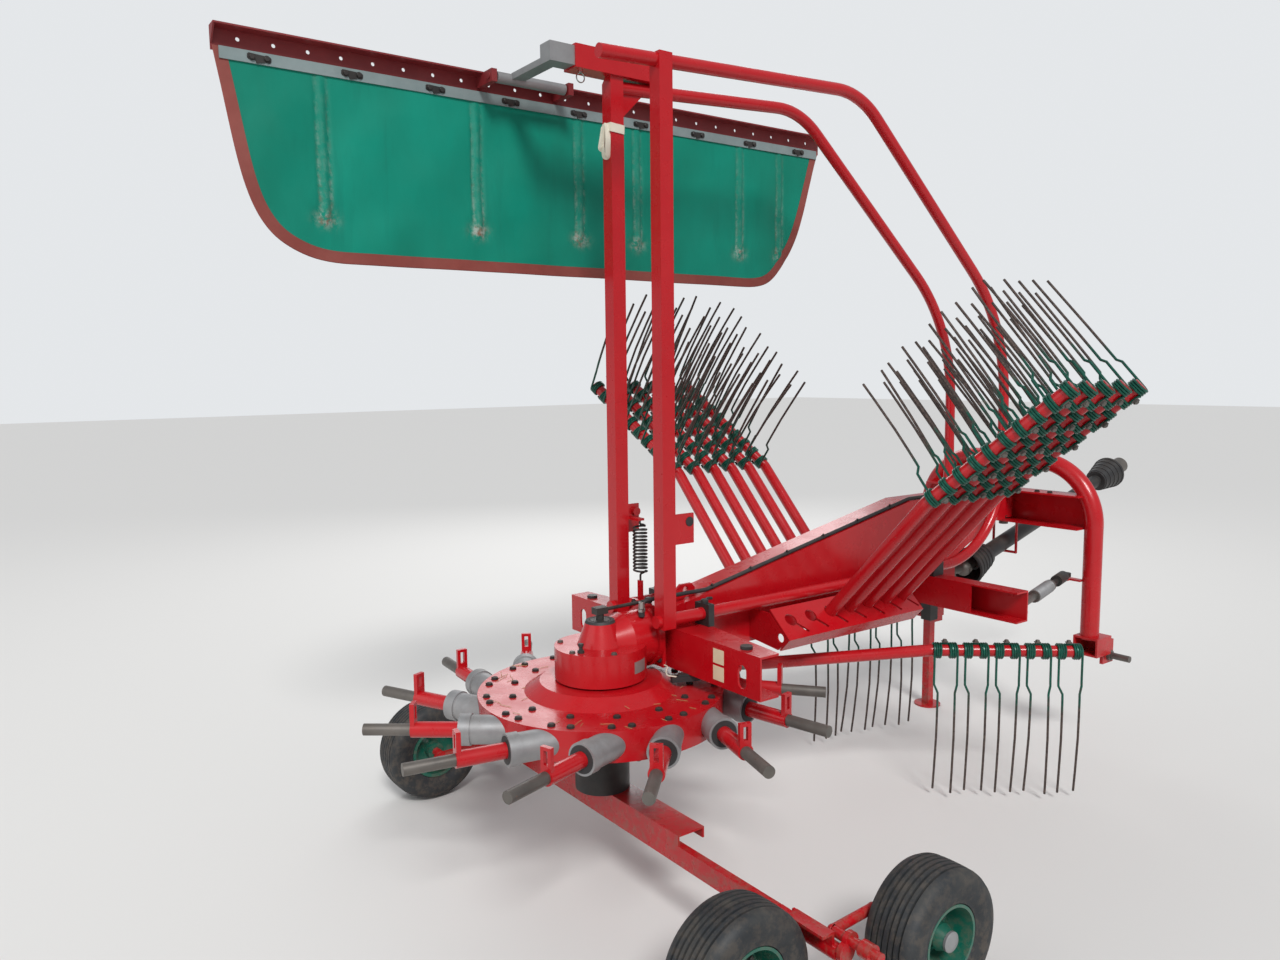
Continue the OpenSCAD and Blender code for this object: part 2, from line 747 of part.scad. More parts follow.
module curtain_rail() color(red) {
    difference() {
        translate([curtain_rear, curtain_y, rail_top - rail_h]) cube([curtain_l, 5, rail_h]);
        for (x = [curtain_rear + 75:100:curtain_rear + curtain_l - 40])
            translate([x, curtain_y - 1, rail_top - 26]) rotate([-90, 0, 0]) cylinder(h = 7, r = 6);
    }
    translate([curtain_rear, 0, 0])
        rotate([90, 0, 90])
            linear_extrude(5)
                polygon([[curtain_y + 2, rail_top - 2], [curtain_y - 45, rail_top - 2], [curtain_y + 2, rail_top - rail_h + 14]]);
    translate([curtain_rear, curtain_y - 45, rail_top - 5]) cube([curtain_l, 46, 5]);
    translate([channel_x - 170, swing_y, swing_z]) rotate([0, 90, 0]) cylinder(h = 320, r = 10);
    for (x = [channel_x - 166, channel_x + 126])
        translate([x, swing_y - 20, swing_z - 20]) cube([20, curtain_y - swing_y + 21, 40]);
}

module curtain_strip() color(steel)
    translate([curtain_rear + 20, curtain_y - sheet_t - 4.6, sheet_top - 34]) cube([curtain_l - 40, 4, 34]);

module curtain_sheet() color(green)
    translate([0, curtain_y - sheet_t / 2 - 0.3, 0])
        upright(sheet_t)
            polygon([[curtain_rear + 5, sheet_top], [curtain_rear + 62, sheet_low + 240],
                [curtain_rear + 100, sheet_low + 130], [curtain_rear + 165, sheet_low + 50],
                [curtain_rear + 290, sheet_low], [curtain_rear + curtain_l - 330, sheet_low],
                [curtain_rear + curtain_l - 235, sheet_low + 60], [curtain_rear + curtain_l - 150, sheet_low + 190],
                [curtain_rear + curtain_l - 5, sheet_top]]);

module tyre(n) color(black)
    translate([wheel_table[n][1], wheel_table[n][0] * wheel_table[n][2], tyre_r])
        rotate([90, 0, 0])
            rotate_extrude()
                polygon([[rim_flange_r + 0.2, -tyre_w / 2 + 14], [rim_flange_r + 30, -tyre_w / 2],
                    [tyre_r - 30, -tyre_w / 2], [tyre_r, -tyre_w / 2 + 28], [tyre_r, tyre_w / 2 - 28],
                    [tyre_r - 30, tyre_w / 2], [rim_flange_r + 30, tyre_w / 2], [rim_flange_r + 0.2, tyre_w / 2 - 14]]);

module rim(n) color(green)
    translate([wheel_table[n][1], wheel_table[n][0] * wheel_table[n][2], tyre_r])
        rotate([wheel_table[n][0] < 0 ? 90 : -90, 0, 0])
            rotate_extrude()
                polygon([[stub_axle_r + fit, -60], [32, -60], [32, -20], [rim_flange_r - 12, -30],
                    [rim_flange_r - 12, -tyre_w / 2 + 10], [rim_flange_r, -tyre_w / 2 + 10],
                    [rim_flange_r, tyre_w / 2 - 10], [rim_flange_r - 8, tyre_w / 2 - 10],
                    [rim_flange_r - 26, -8], [36, -6], [36, 36], [24, 62], [0, 66], [0, 62.5],
                    [stub_axle_r + fit, 62.5]]);

module tyre_front_right() tyre(0);
module tyre_front_left() tyre(1);
module tyre_rear_right() tyre(2);
module tyre_rear_left() tyre(3);
module rim_front_right() rim(0);
module rim_front_left() rim(1);
module rim_rear_right() rim(2);
module rim_rear_left() rim(3);

module headstock() color(red) {
    translate([arch_x, 0, 0])
        rotate([90, 0, 90])
            pipe([[-arch_half, 490], [-arch_half, arch_top], [arch_half, arch_top], [arch_half, 490]],
                [arch_bend, arch_bend], arch_r);
    difference() {
        translate([pivot_x - 60, -arch_half + 34, cross_z]) cube([110, 2 * arch_half - 68, cross_h]);
        translate([pivot_x - 61, -arch_half, cross_z + flange_t]) cube([103, 2 * arch_half, cross_h - 2 * flange_t]);
        translate([pivot_x, 0, cross_z - 1])
            cylinder(h = cross_h + 2, r = pivot_r + fit);
    }
    each_side() {
        difference() {
            translate([arch_x - 44, -arch_half - 60, 424]) cube([113, 108, 80]);
            translate([arch_x - 45, -arch_half - 52, 432]) cube([99, 92, 64]);
        }
        translate([arch_x + 62, -arch_half - 30, link_pin_z - 34]) cube([84, 14, 100]);
        // lug of the steering spring
        translate([damper_eye[0] - 15, -damper_eye[1] - 15, damper_eye[2] - 24]) cube([55, 30, 8]);
        translate([damper_eye[0] + 10, -damper_eye[1] - 60, damper_eye[2] - 24]) cube([30, 50, 8]);
    }
    // hook that the parked drive shaft lies in
    for (y = [-58, 58])
        translate([arch_x, y, hook_z]) cylinder(h = cross_z + 3 - hook_z, r = 6);
    translate([arch_x, -58, hook_z]) rotate([-90, 0, 0]) cylinder(h = 116, r = 6);
    for (y = [-58, 58])
        translate([arch_x, y, hook_z]) sphere(r = 6);
    // bracket of the parking stand's guide
    translate([stand_x - 17, stand_y + stand_w / 2 + 9.3, 440]) cube([arch_x - stand_x + 9, 10, 100]);
    for (y = [-top_gap / 2 - 12, top_gap / 2])
        translate([arch_x - 10, y, arch_top + 10])
            difference() {
                cube([100, 12, 100]);
                translate([60, -1, 58]) rotate([-90, 0, 0]) cylinder(h = 14, r = top_pin_r + fit);
            }
}

module hitch_pins() color(steel) {
    each_side()
        translate([arch_x + 110, -arch_half - 30 - link_pin_l, link_pin_z])
            rotate([-90, 0, 0]) {
                cylinder(h = link_pin_l, r = link_pin_r);
                translate([0, 0, link_pin_l - 12]) cylinder(h = 11.7, r = link_pin_r + 9);
            }
    translate([pivot_x, 0, cross_z - 20]) cylinder(h = cross_h + 45, r = pivot_r);
    translate([pivot_x, 0, cross_z + cross_h + 0.3]) cylinder(h = 12, r = pivot_r + 14);
}

module spring_frame(side) {
    span = damper_eye - damper_tail;
    translate([damper_tail[0], side * damper_tail[1], damper_tail[2]])
        rotate([0, 0, side * atan2(span[1], span[0])])
            rotate([0, 90 - atan2(span[2], norm([span[0], span[1]])), 0])
                children();
}

// Sleeve of a steering spring: from the outrigger's lugs forward
module steer_sleeve(side) color(steel) {
    translate([damper_tail[0], side * damper_tail[1], damper_tail[2] - 24.7]) cylinder(h = 49.4, r = 16);
    spring_frame(side) {
        translate([0, 0, 10]) cylinder(h = 170, r = 14);
        translate([0, 0, 150])
            difference() {
                cylinder(h = 230, r = 24);
                translate([0, 0, 40]) cylinder(h = 191, r = 12 + fit);
            }
    }
}

// Rod of a steering spring, with its eye at the headstock's lug
module steer_rod(side) color(black)
    spring_frame(side) {
        translate([0, 0, 280]) cylinder(h = 312, r = 12);
        translate([0, 0, 470]) cylinder(h = 105, r = 24);
        translate([8, 0, norm(damper_eye - damper_tail)])
            rotate([0, -90, 0]) cylinder(h = 16, r = 22);
    }

module steer_sleeve_right() steer_sleeve(-1);
module steer_sleeve_left() steer_sleeve(1);
module steer_rod_right() steer_rod(-1);
module steer_rod_left() steer_rod(1);

module stand_guide() color(black)
    difference() {
        translate([stand_x - stand_w / 2 - 9, stand_y - stand_w / 2 - 9, 430])
            cube([stand_w + 18, stand_w + 18, 120]);
        translate([stand_x - stand_w / 2 - fit, stand_y - stand_w / 2 - fit, 429])
            cube([stand_w + 2 * fit, stand_w + 2 * fit, 122]);
    }

module stand_leg() color(red) {
    translate([stand_x - stand_w / 2, stand_y - stand_w / 2, 8]) cube([stand_w, stand_w, 470]);
    translate([stand_x, stand_y, 0]) cylinder(h = 8, r = stand_foot_r);
}

module along_shaft()
    translate([pto_joint_x, 0, drive_z])
        rotate([0, 90 - pto_slope, 0])
            children();

module drive_shaft_guard() color(black)
    along_shaft() {
        difference() {
            translate([0, 0, 12]) cylinder(h = 148, r1 = 82, r2 = 52);
            translate([0, 0, 11]) cylinder(h = 140, r1 = 76, r2 = 46);
        }
        translate([0, 0, 64.3]) cylinder(h = 700, r = pto_tube_r);
        translate([0, 0, 720]) cylinder(h = pto_l - 950, r = pto_tube_r - 5);
        translate([0, 0, pto_l - 240]) cylinder(h = 130, r1 = 50, r2 = 78);
    }

module drive_shaft_yokes() color(steel)
    along_shaft() {
        sphere(r = joint_r);
        cylinder(h = 64, r = 26);
        translate([0, 0, pto_l - 109.7]) cylinder(h = 109.7, r = yoke_r);
        rotate([90, 0, 0]) cylinder(h = 2 * joint_r + 8, r = 9, center = true);
    }

// Shifts a sub-part from the rotor axis to the middle of the machine
module placed() translate([-origin_x, 0, 0]) children();

placed() main_beam();
placed() gearbox();
placed() cam_lever();
placed() input_shaft();
placed() guard_bases();
placed() guard_blocks();
placed() hydraulic_hose();
placed() storage_racks();
placed() stowed_arms();
placed() stowed_tines_right();
placed() stowed_tines_left();
placed() cam_housing();
placed() axle_beam();
placed() tandem_rockers();
placed() rotor_housing();
placed() bearing_housings();
placed() stub_arms();
placed() spigots();
placed() mounted_arms();
placed() mounted_tines();
placed() guard_right();
placed() guard_left();
placed() guard_spring();
placed() curtain_arm();
placed() curtain_rail();
placed() curtain_strip();
placed() curtain_sheet();
placed() tyre_front_right();
placed() tyre_front_left();
placed() tyre_rear_right();
placed() tyre_rear_left();
placed() rim_front_right();
placed() rim_front_left();
placed() rim_rear_right();
placed() rim_rear_left();
placed() headstock();
placed() hitch_pins();
placed() steer_sleeve_right();
placed() steer_sleeve_left();
placed() steer_rod_right();
placed() steer_rod_left();
placed() stand_guide();
placed() stand_leg();
placed() drive_shaft_guard();
placed() drive_shaft_yokes();
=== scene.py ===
"""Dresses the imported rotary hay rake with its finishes, tines, curtain, tyres, fasteners and small fittings."""
import json
import logging
import math
import random
from dataclasses import dataclass, field
from enum import Enum
from typing import Callable, Iterable, Sequence

import bpy
from mathutils import Matrix, Vector


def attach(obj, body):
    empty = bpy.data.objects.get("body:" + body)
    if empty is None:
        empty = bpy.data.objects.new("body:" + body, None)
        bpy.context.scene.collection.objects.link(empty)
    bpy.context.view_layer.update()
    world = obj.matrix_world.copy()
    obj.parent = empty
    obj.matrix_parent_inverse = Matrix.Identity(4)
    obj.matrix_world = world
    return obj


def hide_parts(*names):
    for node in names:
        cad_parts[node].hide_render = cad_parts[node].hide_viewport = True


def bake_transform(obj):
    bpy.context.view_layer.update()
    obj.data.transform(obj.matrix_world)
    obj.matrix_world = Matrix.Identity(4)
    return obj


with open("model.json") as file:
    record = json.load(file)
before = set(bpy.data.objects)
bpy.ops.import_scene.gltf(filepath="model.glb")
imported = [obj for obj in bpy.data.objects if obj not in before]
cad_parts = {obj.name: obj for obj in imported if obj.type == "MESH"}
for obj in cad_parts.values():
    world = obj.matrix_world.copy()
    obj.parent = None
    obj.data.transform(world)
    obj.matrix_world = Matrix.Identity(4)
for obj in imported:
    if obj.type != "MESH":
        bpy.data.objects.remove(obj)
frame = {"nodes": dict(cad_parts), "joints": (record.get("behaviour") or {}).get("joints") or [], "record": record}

Socket = bpy.types.NodeSocket
Material = bpy.types.Material
Piece = bpy.types.Object
Section = Sequence[tuple[float, float]]
Triple = tuple[float, float, float]

LOG = logging.getLogger("hay_rake")
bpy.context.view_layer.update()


def rotor_axis_x() -> float:
    """Returns the place of the rotor's axis along the machine, in metres."""
    spin = next(j for j in frame["joints"] if j["name"] == "rotor_spin")
    return float(spin["pos_m"][0])


AXIS_X = rotor_axis_x()
WHEEL_RADIUS = 188.0
WHEELS = (("front", 311.0, 1072.0), ("rear", -216.0, 904.0))
ARM_COUNT = 13
ARM_STEP = 360 / ARM_COUNT
FIRST_ARM = -23.8
ARM_HEIGHT = 580.0
ARM_OFFSET = 256.0
SHARP_ANGLE = 35.0
BEND_SHARE = 0.48
BEVEL_SHARE = 2.1


def at(x: float, y: float, z: float) -> Vector:
    """Turns a place in millimetres from the rotor's axis into a place in the frame.

    Args:
        x: Distance forward of the rotor's axis.
        y: Distance to the left.
        z: Height above the ground.

    Returns:
        The place in metres.
    """
    return Vector((x / 1000 + AXIS_X, y / 1000, z / 1000))


def machine(matrix: Matrix) -> Matrix:
    """Moves a placing in millimetres from the rotor's axis into the frame, in metres."""
    moved = matrix.copy()
    moved.translation = at(*matrix.translation)
    return moved


def turn(axis: str, degrees: float) -> Matrix:
    """Returns a turn about one axis, in degrees."""
    return Matrix.Rotation(math.radians(degrees), 4, axis)


def shift(x: float, y: float, z: float) -> Matrix:
    """Returns a plain move."""
    return Matrix.Translation((x, y, z))


class Side(Enum):
    """The two sides of the machine."""

    RIGHT = -1
    LEFT = 1

    @property
    def label(self) -> str:
        """Returns the side's name as nodes and bodies have it."""
        return self.name.lower()


def circle(count: int) -> list[tuple[float, float]]:
    """Returns points evenly spaced on a circle of radius 1."""
    angles = [2 * math.pi * k / count for k in range(count)]
    return [(math.cos(a), math.sin(a)) for a in angles]


def hump(value: float, middle: float, width: float) -> float:
    """Returns 1 at the middle, falling to nothing over a few widths."""
    return math.exp(-((value - middle) / width) ** 2)


@dataclass
class Shell:
    """A mesh under construction, with a mark at each corner that a finish can read."""

    verts: list[Vector] = field(default_factory=list)
    faces: list[tuple[int, ...]] = field(default_factory=list)
    marks: list[float] = field(default_factory=list)

    def add(
        self, verts: Iterable[Vector], faces: Iterable[Sequence[int]], marks: Iterable[float] | None = None
    ) -> None:
        """Adds corners and faces, whose numbers start at 0."""
        base = len(self.verts)
        fresh = list(verts)
        self.verts += fresh
        self.faces += [tuple(base + i for i in f) for f in faces]
        self.marks += list(marks) if marks is not None else [0.0] * len(fresh)

    def sweep(
        self,
        path: Sequence[Vector],
        radius: float,
        sides: int = 8,
        marks: Sequence[float] | None = None,
        profile: Section | None = None,
        up: Vector | None = None,
    ) -> None:
        """Draws a round or shaped bar along a path, closed at both ends.

        Args:
            path: The bar's centre line.
            radius: Radius of a round bar.
            sides: Number of sides of a round bar.
            marks: One mark for each point.
            profile: Corners of a shaped bar, used in place of a round one.
            up: The direction that a shaped bar's second axis starts from.
        """
        count = len(path)
        tangents = [(path[min(i + 1, count - 1)] - path[max(i - 1, 0)]).normalized() for i in range(count)]
        steep = abs(tangents[0].z) >= 0.9
        seed = up if up is not None else Vector((1, 0, 0) if steep else (0, 0, 1))
        normal = (seed - tangents[0] * seed.dot(tangents[0])).normalized()
        ring = profile or circle(sides)
        scale = 1.0 if profile else radius
        verts: list[Vector] = []
        values: list[float] = []
        for i, point in enumerate(path):
            normal = (normal - tangents[i] * normal.dot(tangents[i])).normalized()
            side = tangents[i].cross(normal)
            verts += [point + (normal * b + side * a) * scale for a, b in ring]
            values += [marks[i] if marks else 0.0] * len(ring)
        n = len(ring)
        faces: list[Sequence[int]] = []
        for i in range(count - 1):
            faces += [
                (i * n + k, i * n + (k + 1) % n, (i + 1) * n + (k + 1) % n, (i + 1) * n + k) for k in range(n)
            ]
        faces.append(tuple(reversed(range(n))))
        faces.append(tuple((count - 1) * n + k for k in range(n)))
        self.add(verts, [tuple(reversed(f)) for f in faces], values)

    def revolve(self, profile: Section, placing: Matrix, segments: int = 32) -> None:
        """Turns a closed profile of radius and height about the Z axis of a placing.

        Args:
            profile: Closed loop of radius and height, anticlockwise.
            placing: Where the axis stands.
            segments: Number of steps round the axis.
        """
        verts: list[Vector] = []
        n = len(profile)
        for c, s in circle(segments):
            verts += [placing @ Vector((r * c, r * s, h)) for r, h in profile]
        faces = []
        for k in range(segments):
            a, b = k * n, ((k + 1) % segments) * n
            faces += [(a + i, b + i, b + (i + 1) % n, a + (i + 1) % n) for i in range(n)]
        self.add(verts, faces)

    def lathe(self, profile: Section, placing: Matrix, segments: int = 24) -> None:
        """Turns an open profile that starts and ends on the axis, and closes it with fans."""
        inner = list(profile[1:-1])
        first, last = profile[0], profile[-1]
        n = len(inner)
        verts: list[Vector] = [placing @ Vector((0, 0, first[1])), placing @ Vector((0, 0, last[1]))]
        for c, s in circle(segments):
            verts += [placing @ Vector((r * c, r * s, h)) for r, h in inner]
        faces: list[tuple[int, ...]] = []
        for k in range(segments):
            a, b = 2 + k * n, 2 + ((k + 1) % segments) * n
            faces.append((0, b, a))
            faces += [(a + i, b + i, b + i + 1, a + i + 1) for i in range(n - 1)]
            faces.append((1, a + n - 1, b + n - 1))
        self.add(verts, faces)

    def block(self, low: Vector, high: Vector, placing: Matrix, bevel: float = 0.0) -> None:
        """Draws a block with bevelled upright edges between two corners."""
        c = min(bevel, (high.x - low.x) / BEVEL_SHARE, (high.y - low.y) / BEVEL_SHARE)
        outline = [(low.x + c, low.y), (high.x - c, low.y), (high.x, low.y + c), (high.x, high.y - c),
                   (high.x - c, high.y), (low.x + c, high.y), (low.x, high.y - c), (low.x, low.y + c)]
        if c <= 0:
            outline = [(low.x, low.y), (high.x, low.y), (high.x, high.y), (low.x, high.y)]
        n = len(outline)
        verts = [placing @ Vector((x, y, z)) for z in (low.z, high.z) for x, y in outline]
        faces: list[tuple[int, ...]] = [(k, (k + 1) % n, n + (k + 1) % n, n + k) for k in range(n)]
        faces += [tuple(reversed(range(n))), tuple(range(n, 2 * n))]
        self.add(verts, faces)

    def build(self, name: str, material: Material, smooth: float | None = SHARP_ANGLE) -> Piece:
        """Makes the mesh a piece of the scene.

        Args:
            name: The piece's name.
            material: Its finish.
            smooth: Edges sharper than this angle stay sharp, and None keeps all faces flat.

        Returns:
            The new object, at the origin.
        """
        mesh = bpy.data.meshes.new(name)
        mesh.from_pydata([tuple(v) for v in self.verts], [], self.faces)
        if any(self.marks):
            layer = mesh.attributes.new("reach", "FLOAT", "POINT")
            layer.data.foreach_set("value", self.marks)
        mesh.materials.append(material)
        mesh.update()
        if smooth is not None:
            mesh.shade_smooth()
            mesh.set_sharp_from_angle(angle=math.radians(smooth))
        piece = bpy.data.objects.new(name, mesh)
        bpy.context.scene.collection.objects.link(piece)
        return piece


def round_path(points: Sequence[Vector], bend: float, steps: int = 6) -> list[Vector]:
    """Rounds the corners of a path.

    Args:
        points: The path's corners.
        bend: How far from a corner its rounding starts.
        steps: Number of points on each rounding.

    Returns:
        The rounded path.
    """
    path = [points[0].copy()]
    for before, corner, after in zip(points, points[1:], points[2:]):
        a = corner + (before - corner).normalized() * min(bend, (before - corner).length * BEND_SHARE)
        b = corner + (after - corner).normalized() * min(bend, (after - corner).length * BEND_SHARE)
        for i in range(steps + 1):
            t = i / steps
            path.append(a * (1 - t) ** 2 + corner * (2 * t * (1 - t)) + b * t**2)
    path.append(points[-1].copy())
    return path


class NodeChain:
    """Short calls for the nodes of one material."""

    def __init__(self, name: str) -> None:
        """Starts an empty material with a shader and an output."""
        self.material = bpy.data.materials.new(name)
        self.material.use_nodes = True
        self.tree = self.material.node_tree
        self.tree.nodes.clear()
        self.output = self.tree.nodes.new("ShaderNodeOutputMaterial")
        self.shader = self.tree.nodes.new("ShaderNodeBsdfPrincipled")
        self.tree.links.new(self.shader.outputs[0], self.output.inputs[0])
        self.place = self.tree.nodes.new("ShaderNodeTexCoord").outputs["Object"]

    def link(self, source: Socket, target: Socket) -> None:
        """Joins two sockets."""
        self.tree.links.new(source, target)

    def node(self, kind: str, **values: float | Triple) -> bpy.types.Node:
        """Adds a node and sets its inputs, whose names have an underscore for each space."""
        fresh = self.tree.nodes.new(kind)
        self.settle(fresh, **values)
        return fresh

    def settle(self, node: bpy.types.Node, **values: float | Triple) -> None:
        """Sets inputs of a node, whose names have an underscore for each space."""
        for name, value in values.items():
            node.inputs[name.replace("_", " ")].default_value = value

    def feed(self, value: Socket | float | Triple, target: Socket) -> None:
        """Joins a socket to a target, or sets the target to a number or a colour."""
        if isinstance(value, tuple):
            target.default_value = (*value, 1.0)
        elif isinstance(value, (int, float)):
            target.default_value = value
        else:
            self.link(value, target)

    def noise(self, scale: float, detail: float = 3.0, rough: float = 0.55, stretch: Triple = (1, 1, 1),
              offset: float = 0.0) -> Socket:
        """Returns a noise on the piece's own place, finer with a larger scale."""
        mapping = self.node("ShaderNodeMapping", Scale=stretch, Location=(offset, offset * 0.7, -offset))
        self.link(self.place, mapping.inputs["Vector"])
        node = self.node("ShaderNodeTexNoise", Scale=scale, Detail=detail, Roughness=rough)
        self.link(mapping.outputs[0], node.inputs["Vector"])
        return node.outputs["Fac"]

    def ramp(self, source: Socket, low: float, high: float, start: float = 0.0, end: float = 1.0) -> Socket:
        """Maps low and high to start and end, and holds beyond them."""
        node = self.node("ShaderNodeMapRange", From_Min=low, From_Max=high, To_Min=start, To_Max=end)
        self.link(source, node.inputs["Value"])
        return node.outputs["Result"]

    def math(self, kind: str, a: Socket | float, b: Socket | float) -> Socket:
        """Returns one sum of two values, held between 0 and 1."""
        node = self.node("ShaderNodeMath")
        node.operation = kind
        node.use_clamp = True
        self.feed(a, node.inputs[0])
        self.feed(b, node.inputs[1])
        return node.outputs[0]

    def product(self, a: Socket | float, b: Socket | float) -> Socket:
        """Returns the product of two values, held between 0 and 1."""
        return self.math("MULTIPLY", a, b)

    def mix(self, fac: Socket, a: Socket | Triple, b: Socket | Triple) -> Socket:
        """Mixes two colours by a mask."""
        first_colour, second_colour, mixed_colour = 6, 7, 2
        node = self.node("ShaderNodeMix")
        node.data_type = "RGBA"
        self.link(fac, node.inputs[0])
        self.feed(a, node.inputs[first_colour])
        self.feed(b, node.inputs[second_colour])
        return node.outputs[mixed_colour]

    def mark(self, name: str) -> Socket:
        """Reads a value kept in the mesh."""
        node = self.node("ShaderNodeAttribute")
        node.attribute_name = name
        return node.outputs["Fac"]

    def upright(self, source: Socket) -> Socket:
        """Returns the upward part of a direction or a place."""
        split = self.node("ShaderNodeSeparateXYZ")
        self.link(source, split.inputs[0])
        return split.outputs[2]

    def bump(self, *layers: tuple[Socket, float, float]) -> None:
        """Stacks bumps, each with its height, strength and depth in metres."""
        previous: Socket | None = None
        for height, strength, depth in layers:
            node = self.node("ShaderNodeBump", Strength=strength, Distance=depth)
            self.link(height, node.inputs["Height"])
            if previous is not None:
                self.link(previous, node.inputs["Normal"])
            previous = node.outputs[0]
        if previous is not None:
            self.link(previous, self.shader.inputs["Normal"])


CHIP_EDGE = 0.012
MUD_TOP = 0.62
MUD_THICK = 0.12
MUD_COLOUR = (0.16, 0.12, 0.085)


@dataclass(frozen=True)
class Finish:
    """A painted, plated, rubber or plastic surface with age on it."""

    name: str
    colour: Triple
    faded: Triple
    under: Triple = (0.09, 0.055, 0.04)
    grime: Triple = (0.12, 0.09, 0.065)
    chips: float = 0.3
    dust: float = 0.35
    mud: float = 0.0
    rough: tuple[float, float] = (0.28, 0.5)
    metal: float = 0.0
    coat: float = 0.0
    fine: float = 260.0
    bump: float = 0.12
    gloss: float = 0.5

    def material(self) -> Material:
        """Builds the finish as a material."""
        chain = NodeChain(self.name)
        patches = chain.ramp(chain.noise(3.1, 4.0, 0.6), 0.32, 0.72)
        mottle = chain.ramp(chain.noise(21.0, 3.0, 0.6, offset=3.0), 0.35, 0.75, 0.0, 0.35)
        colour = chain.mix(chain.math("ADD", chain.product(patches, 0.65), mottle), self.colour, self.faded)
        normal = chain.node("ShaderNodeNewGeometry").outputs["Normal"]
        upward = chain.ramp(chain.upright(normal), -0.1, 0.95, 0.25, 1.0)
        dusty = chain.product(chain.ramp(chain.noise(11.0, 6.0, 0.68, offset=7.0), 0.42, 0.78), upward)
        dusty = chain.product(dusty, self.dust)
        colour = chain.mix(dusty, colour, self.grime)
        if self.mud > 0:
            low = chain.ramp(chain.upright(chain.place), MUD_TOP, MUD_THICK)
            splash = chain.product(chain.ramp(chain.noise(34.0, 7.0, 0.72, offset=11.0), 0.46, 0.6), low)
            colour = chain.mix(chain.product(splash, self.mud), colour, MUD_COLOUR)
        chip_noise = chain.noise(46.0, 8.0, 0.72, offset=17.0)
        edge = 0.74 - 0.1 * self.chips
        chip = chain.product(chain.ramp(chip_noise, edge, edge + CHIP_EDGE), min(1.0, self.chips * 3))
        bright = tuple(min(1.0, c * 2.1) for c in self.under)
        rust = chain.mix(chain.ramp(chain.noise(150.0, 2.0, offset=5.0), 0.4, 0.6), self.under, bright)
        colour = chain.mix(chip, colour, rust)
        chain.link(colour, chain.shader.inputs["Base Color"])
        uneven = chain.ramp(chain.noise(8.0, 4.0, 0.6, offset=23.0), 0.3, 0.7, *self.rough)
        worn = chain.math("ADD", uneven, chain.product(chain.math("ADD", dusty, chip), 0.35))
        chain.link(worn, chain.shader.inputs["Roughness"])
        chain.settle(chain.shader, Metallic=self.metal, Coat_Weight=self.coat, Coat_Roughness=0.15,
                     Specular_IOR_Level=self.gloss)
        chain.bump((chain.noise(self.fine, 3.0, 0.6), self.bump, 0.0006),
                   (chain.ramp(chip_noise, edge, edge + CHIP_EDGE, 1.0, 0.0), 0.25, 0.0004),
                   (chain.noise(14.0, 3.0), 0.12, 0.002))
        return chain.material


RED = Finish("faded_red_paint", (0.42, 0.001, 0.006), (0.47, 0.008, 0.012), grime=(0.15, 0.05, 0.04), chips=0.32,
             dust=0.16, mud=0.5, coat=0.22, rough=(0.17, 0.36), gloss=0.38)
DARK_RED = Finish("dull_red_paint", (0.16, 0.006, 0.010), (0.24, 0.025, 0.026), chips=0.4, dust=0.3, rough=(0.4, 0.6))
GALVANISED = Finish("galvanised_steel", (0.24, 0.24, 0.245), (0.38, 0.38, 0.38), under=(0.12, 0.075, 0.05),
                    chips=0.35, dust=0.45, rough=(0.38, 0.6), metal=0.5, bump=0.2)
STRIP = Finish("clamp_strip_steel", (0.20, 0.26, 0.26), (0.30, 0.36, 0.36), chips=0.4, dust=0.45, rough=(0.4, 0.6),
               metal=0.4)
DARK_STEEL = Finish("oiled_dark_steel", (0.018, 0.017, 0.017), (0.05, 0.045, 0.042), chips=0.5, dust=0.5,
                    rough=(0.35, 0.65), metal=0.3)
BARE_STEEL = Finish("worn_bare_steel", (0.10, 0.092, 0.085), (0.20, 0.18, 0.16), under=(0.16, 0.07, 0.035), chips=0.7,
                    dust=0.45, rough=(0.32, 0.6), metal=0.6, bump=0.2)
SHINY = Finish("bright_worn_steel", (0.50, 0.49, 0.47), (0.35, 0.33, 0.30), chips=0.3, dust=0.2, rough=(0.2, 0.4),
               metal=0.9)
BLACK_RUBBER = Finish("black_rubber", (0.012, 0.012, 0.013), (0.035, 0.035, 0.036), chips=0.0, dust=0.3,
                      rough=(0.55, 0.75), bump=0.25)
BLACK_PLASTIC = Finish("black_plastic", (0.010, 0.010, 0.011), (0.03, 0.03, 0.03), chips=0.0, dust=0.45,
                       rough=(0.35, 0.6), bump=0.2, fine=400.0)
TYRE = Finish("tyre_rubber", (0.011, 0.013, 0.015), (0.027, 0.031, 0.035), grime=(0.16, 0.14, 0.11), chips=0.0,
              dust=0.34, mud=0.32, rough=(0.5, 0.75), bump=0.35, fine=320.0)
RIM_GREEN = Finish("rim_green_paint", (0.0, 0.085, 0.055), (0.006, 0.13, 0.085), chips=0.3, dust=0.3, mud=0.4,
                   coat=0.3, rough=(0.2, 0.42))
CREAM = Finish("blank_cream_plate", (0.70, 0.62, 0.42), (0.58, 0.50, 0.34), under=(0.3, 0.25, 0.2), chips=0.25,
               dust=0.3, rough=(0.35, 0.5))
PLATE_GREY = Finish("blank_metal_plate", (0.42, 0.42, 0.40), (0.30, 0.29, 0.28), chips=0.2, dust=0.4,
                    rough=(0.3, 0.5), metal=0.6)
STRAP = Finish("cream_webbing", (0.72, 0.68, 0.56), (0.55, 0.50, 0.40), chips=0.0, dust=0.35, rough=(0.7, 0.9),
               fine=900.0, bump=0.5)
STRAW = Finish("dry_straw", (0.50, 0.36, 0.16), (0.34, 0.24, 0.10), chips=0.0, dust=0.2, rough=(0.7, 0.9))


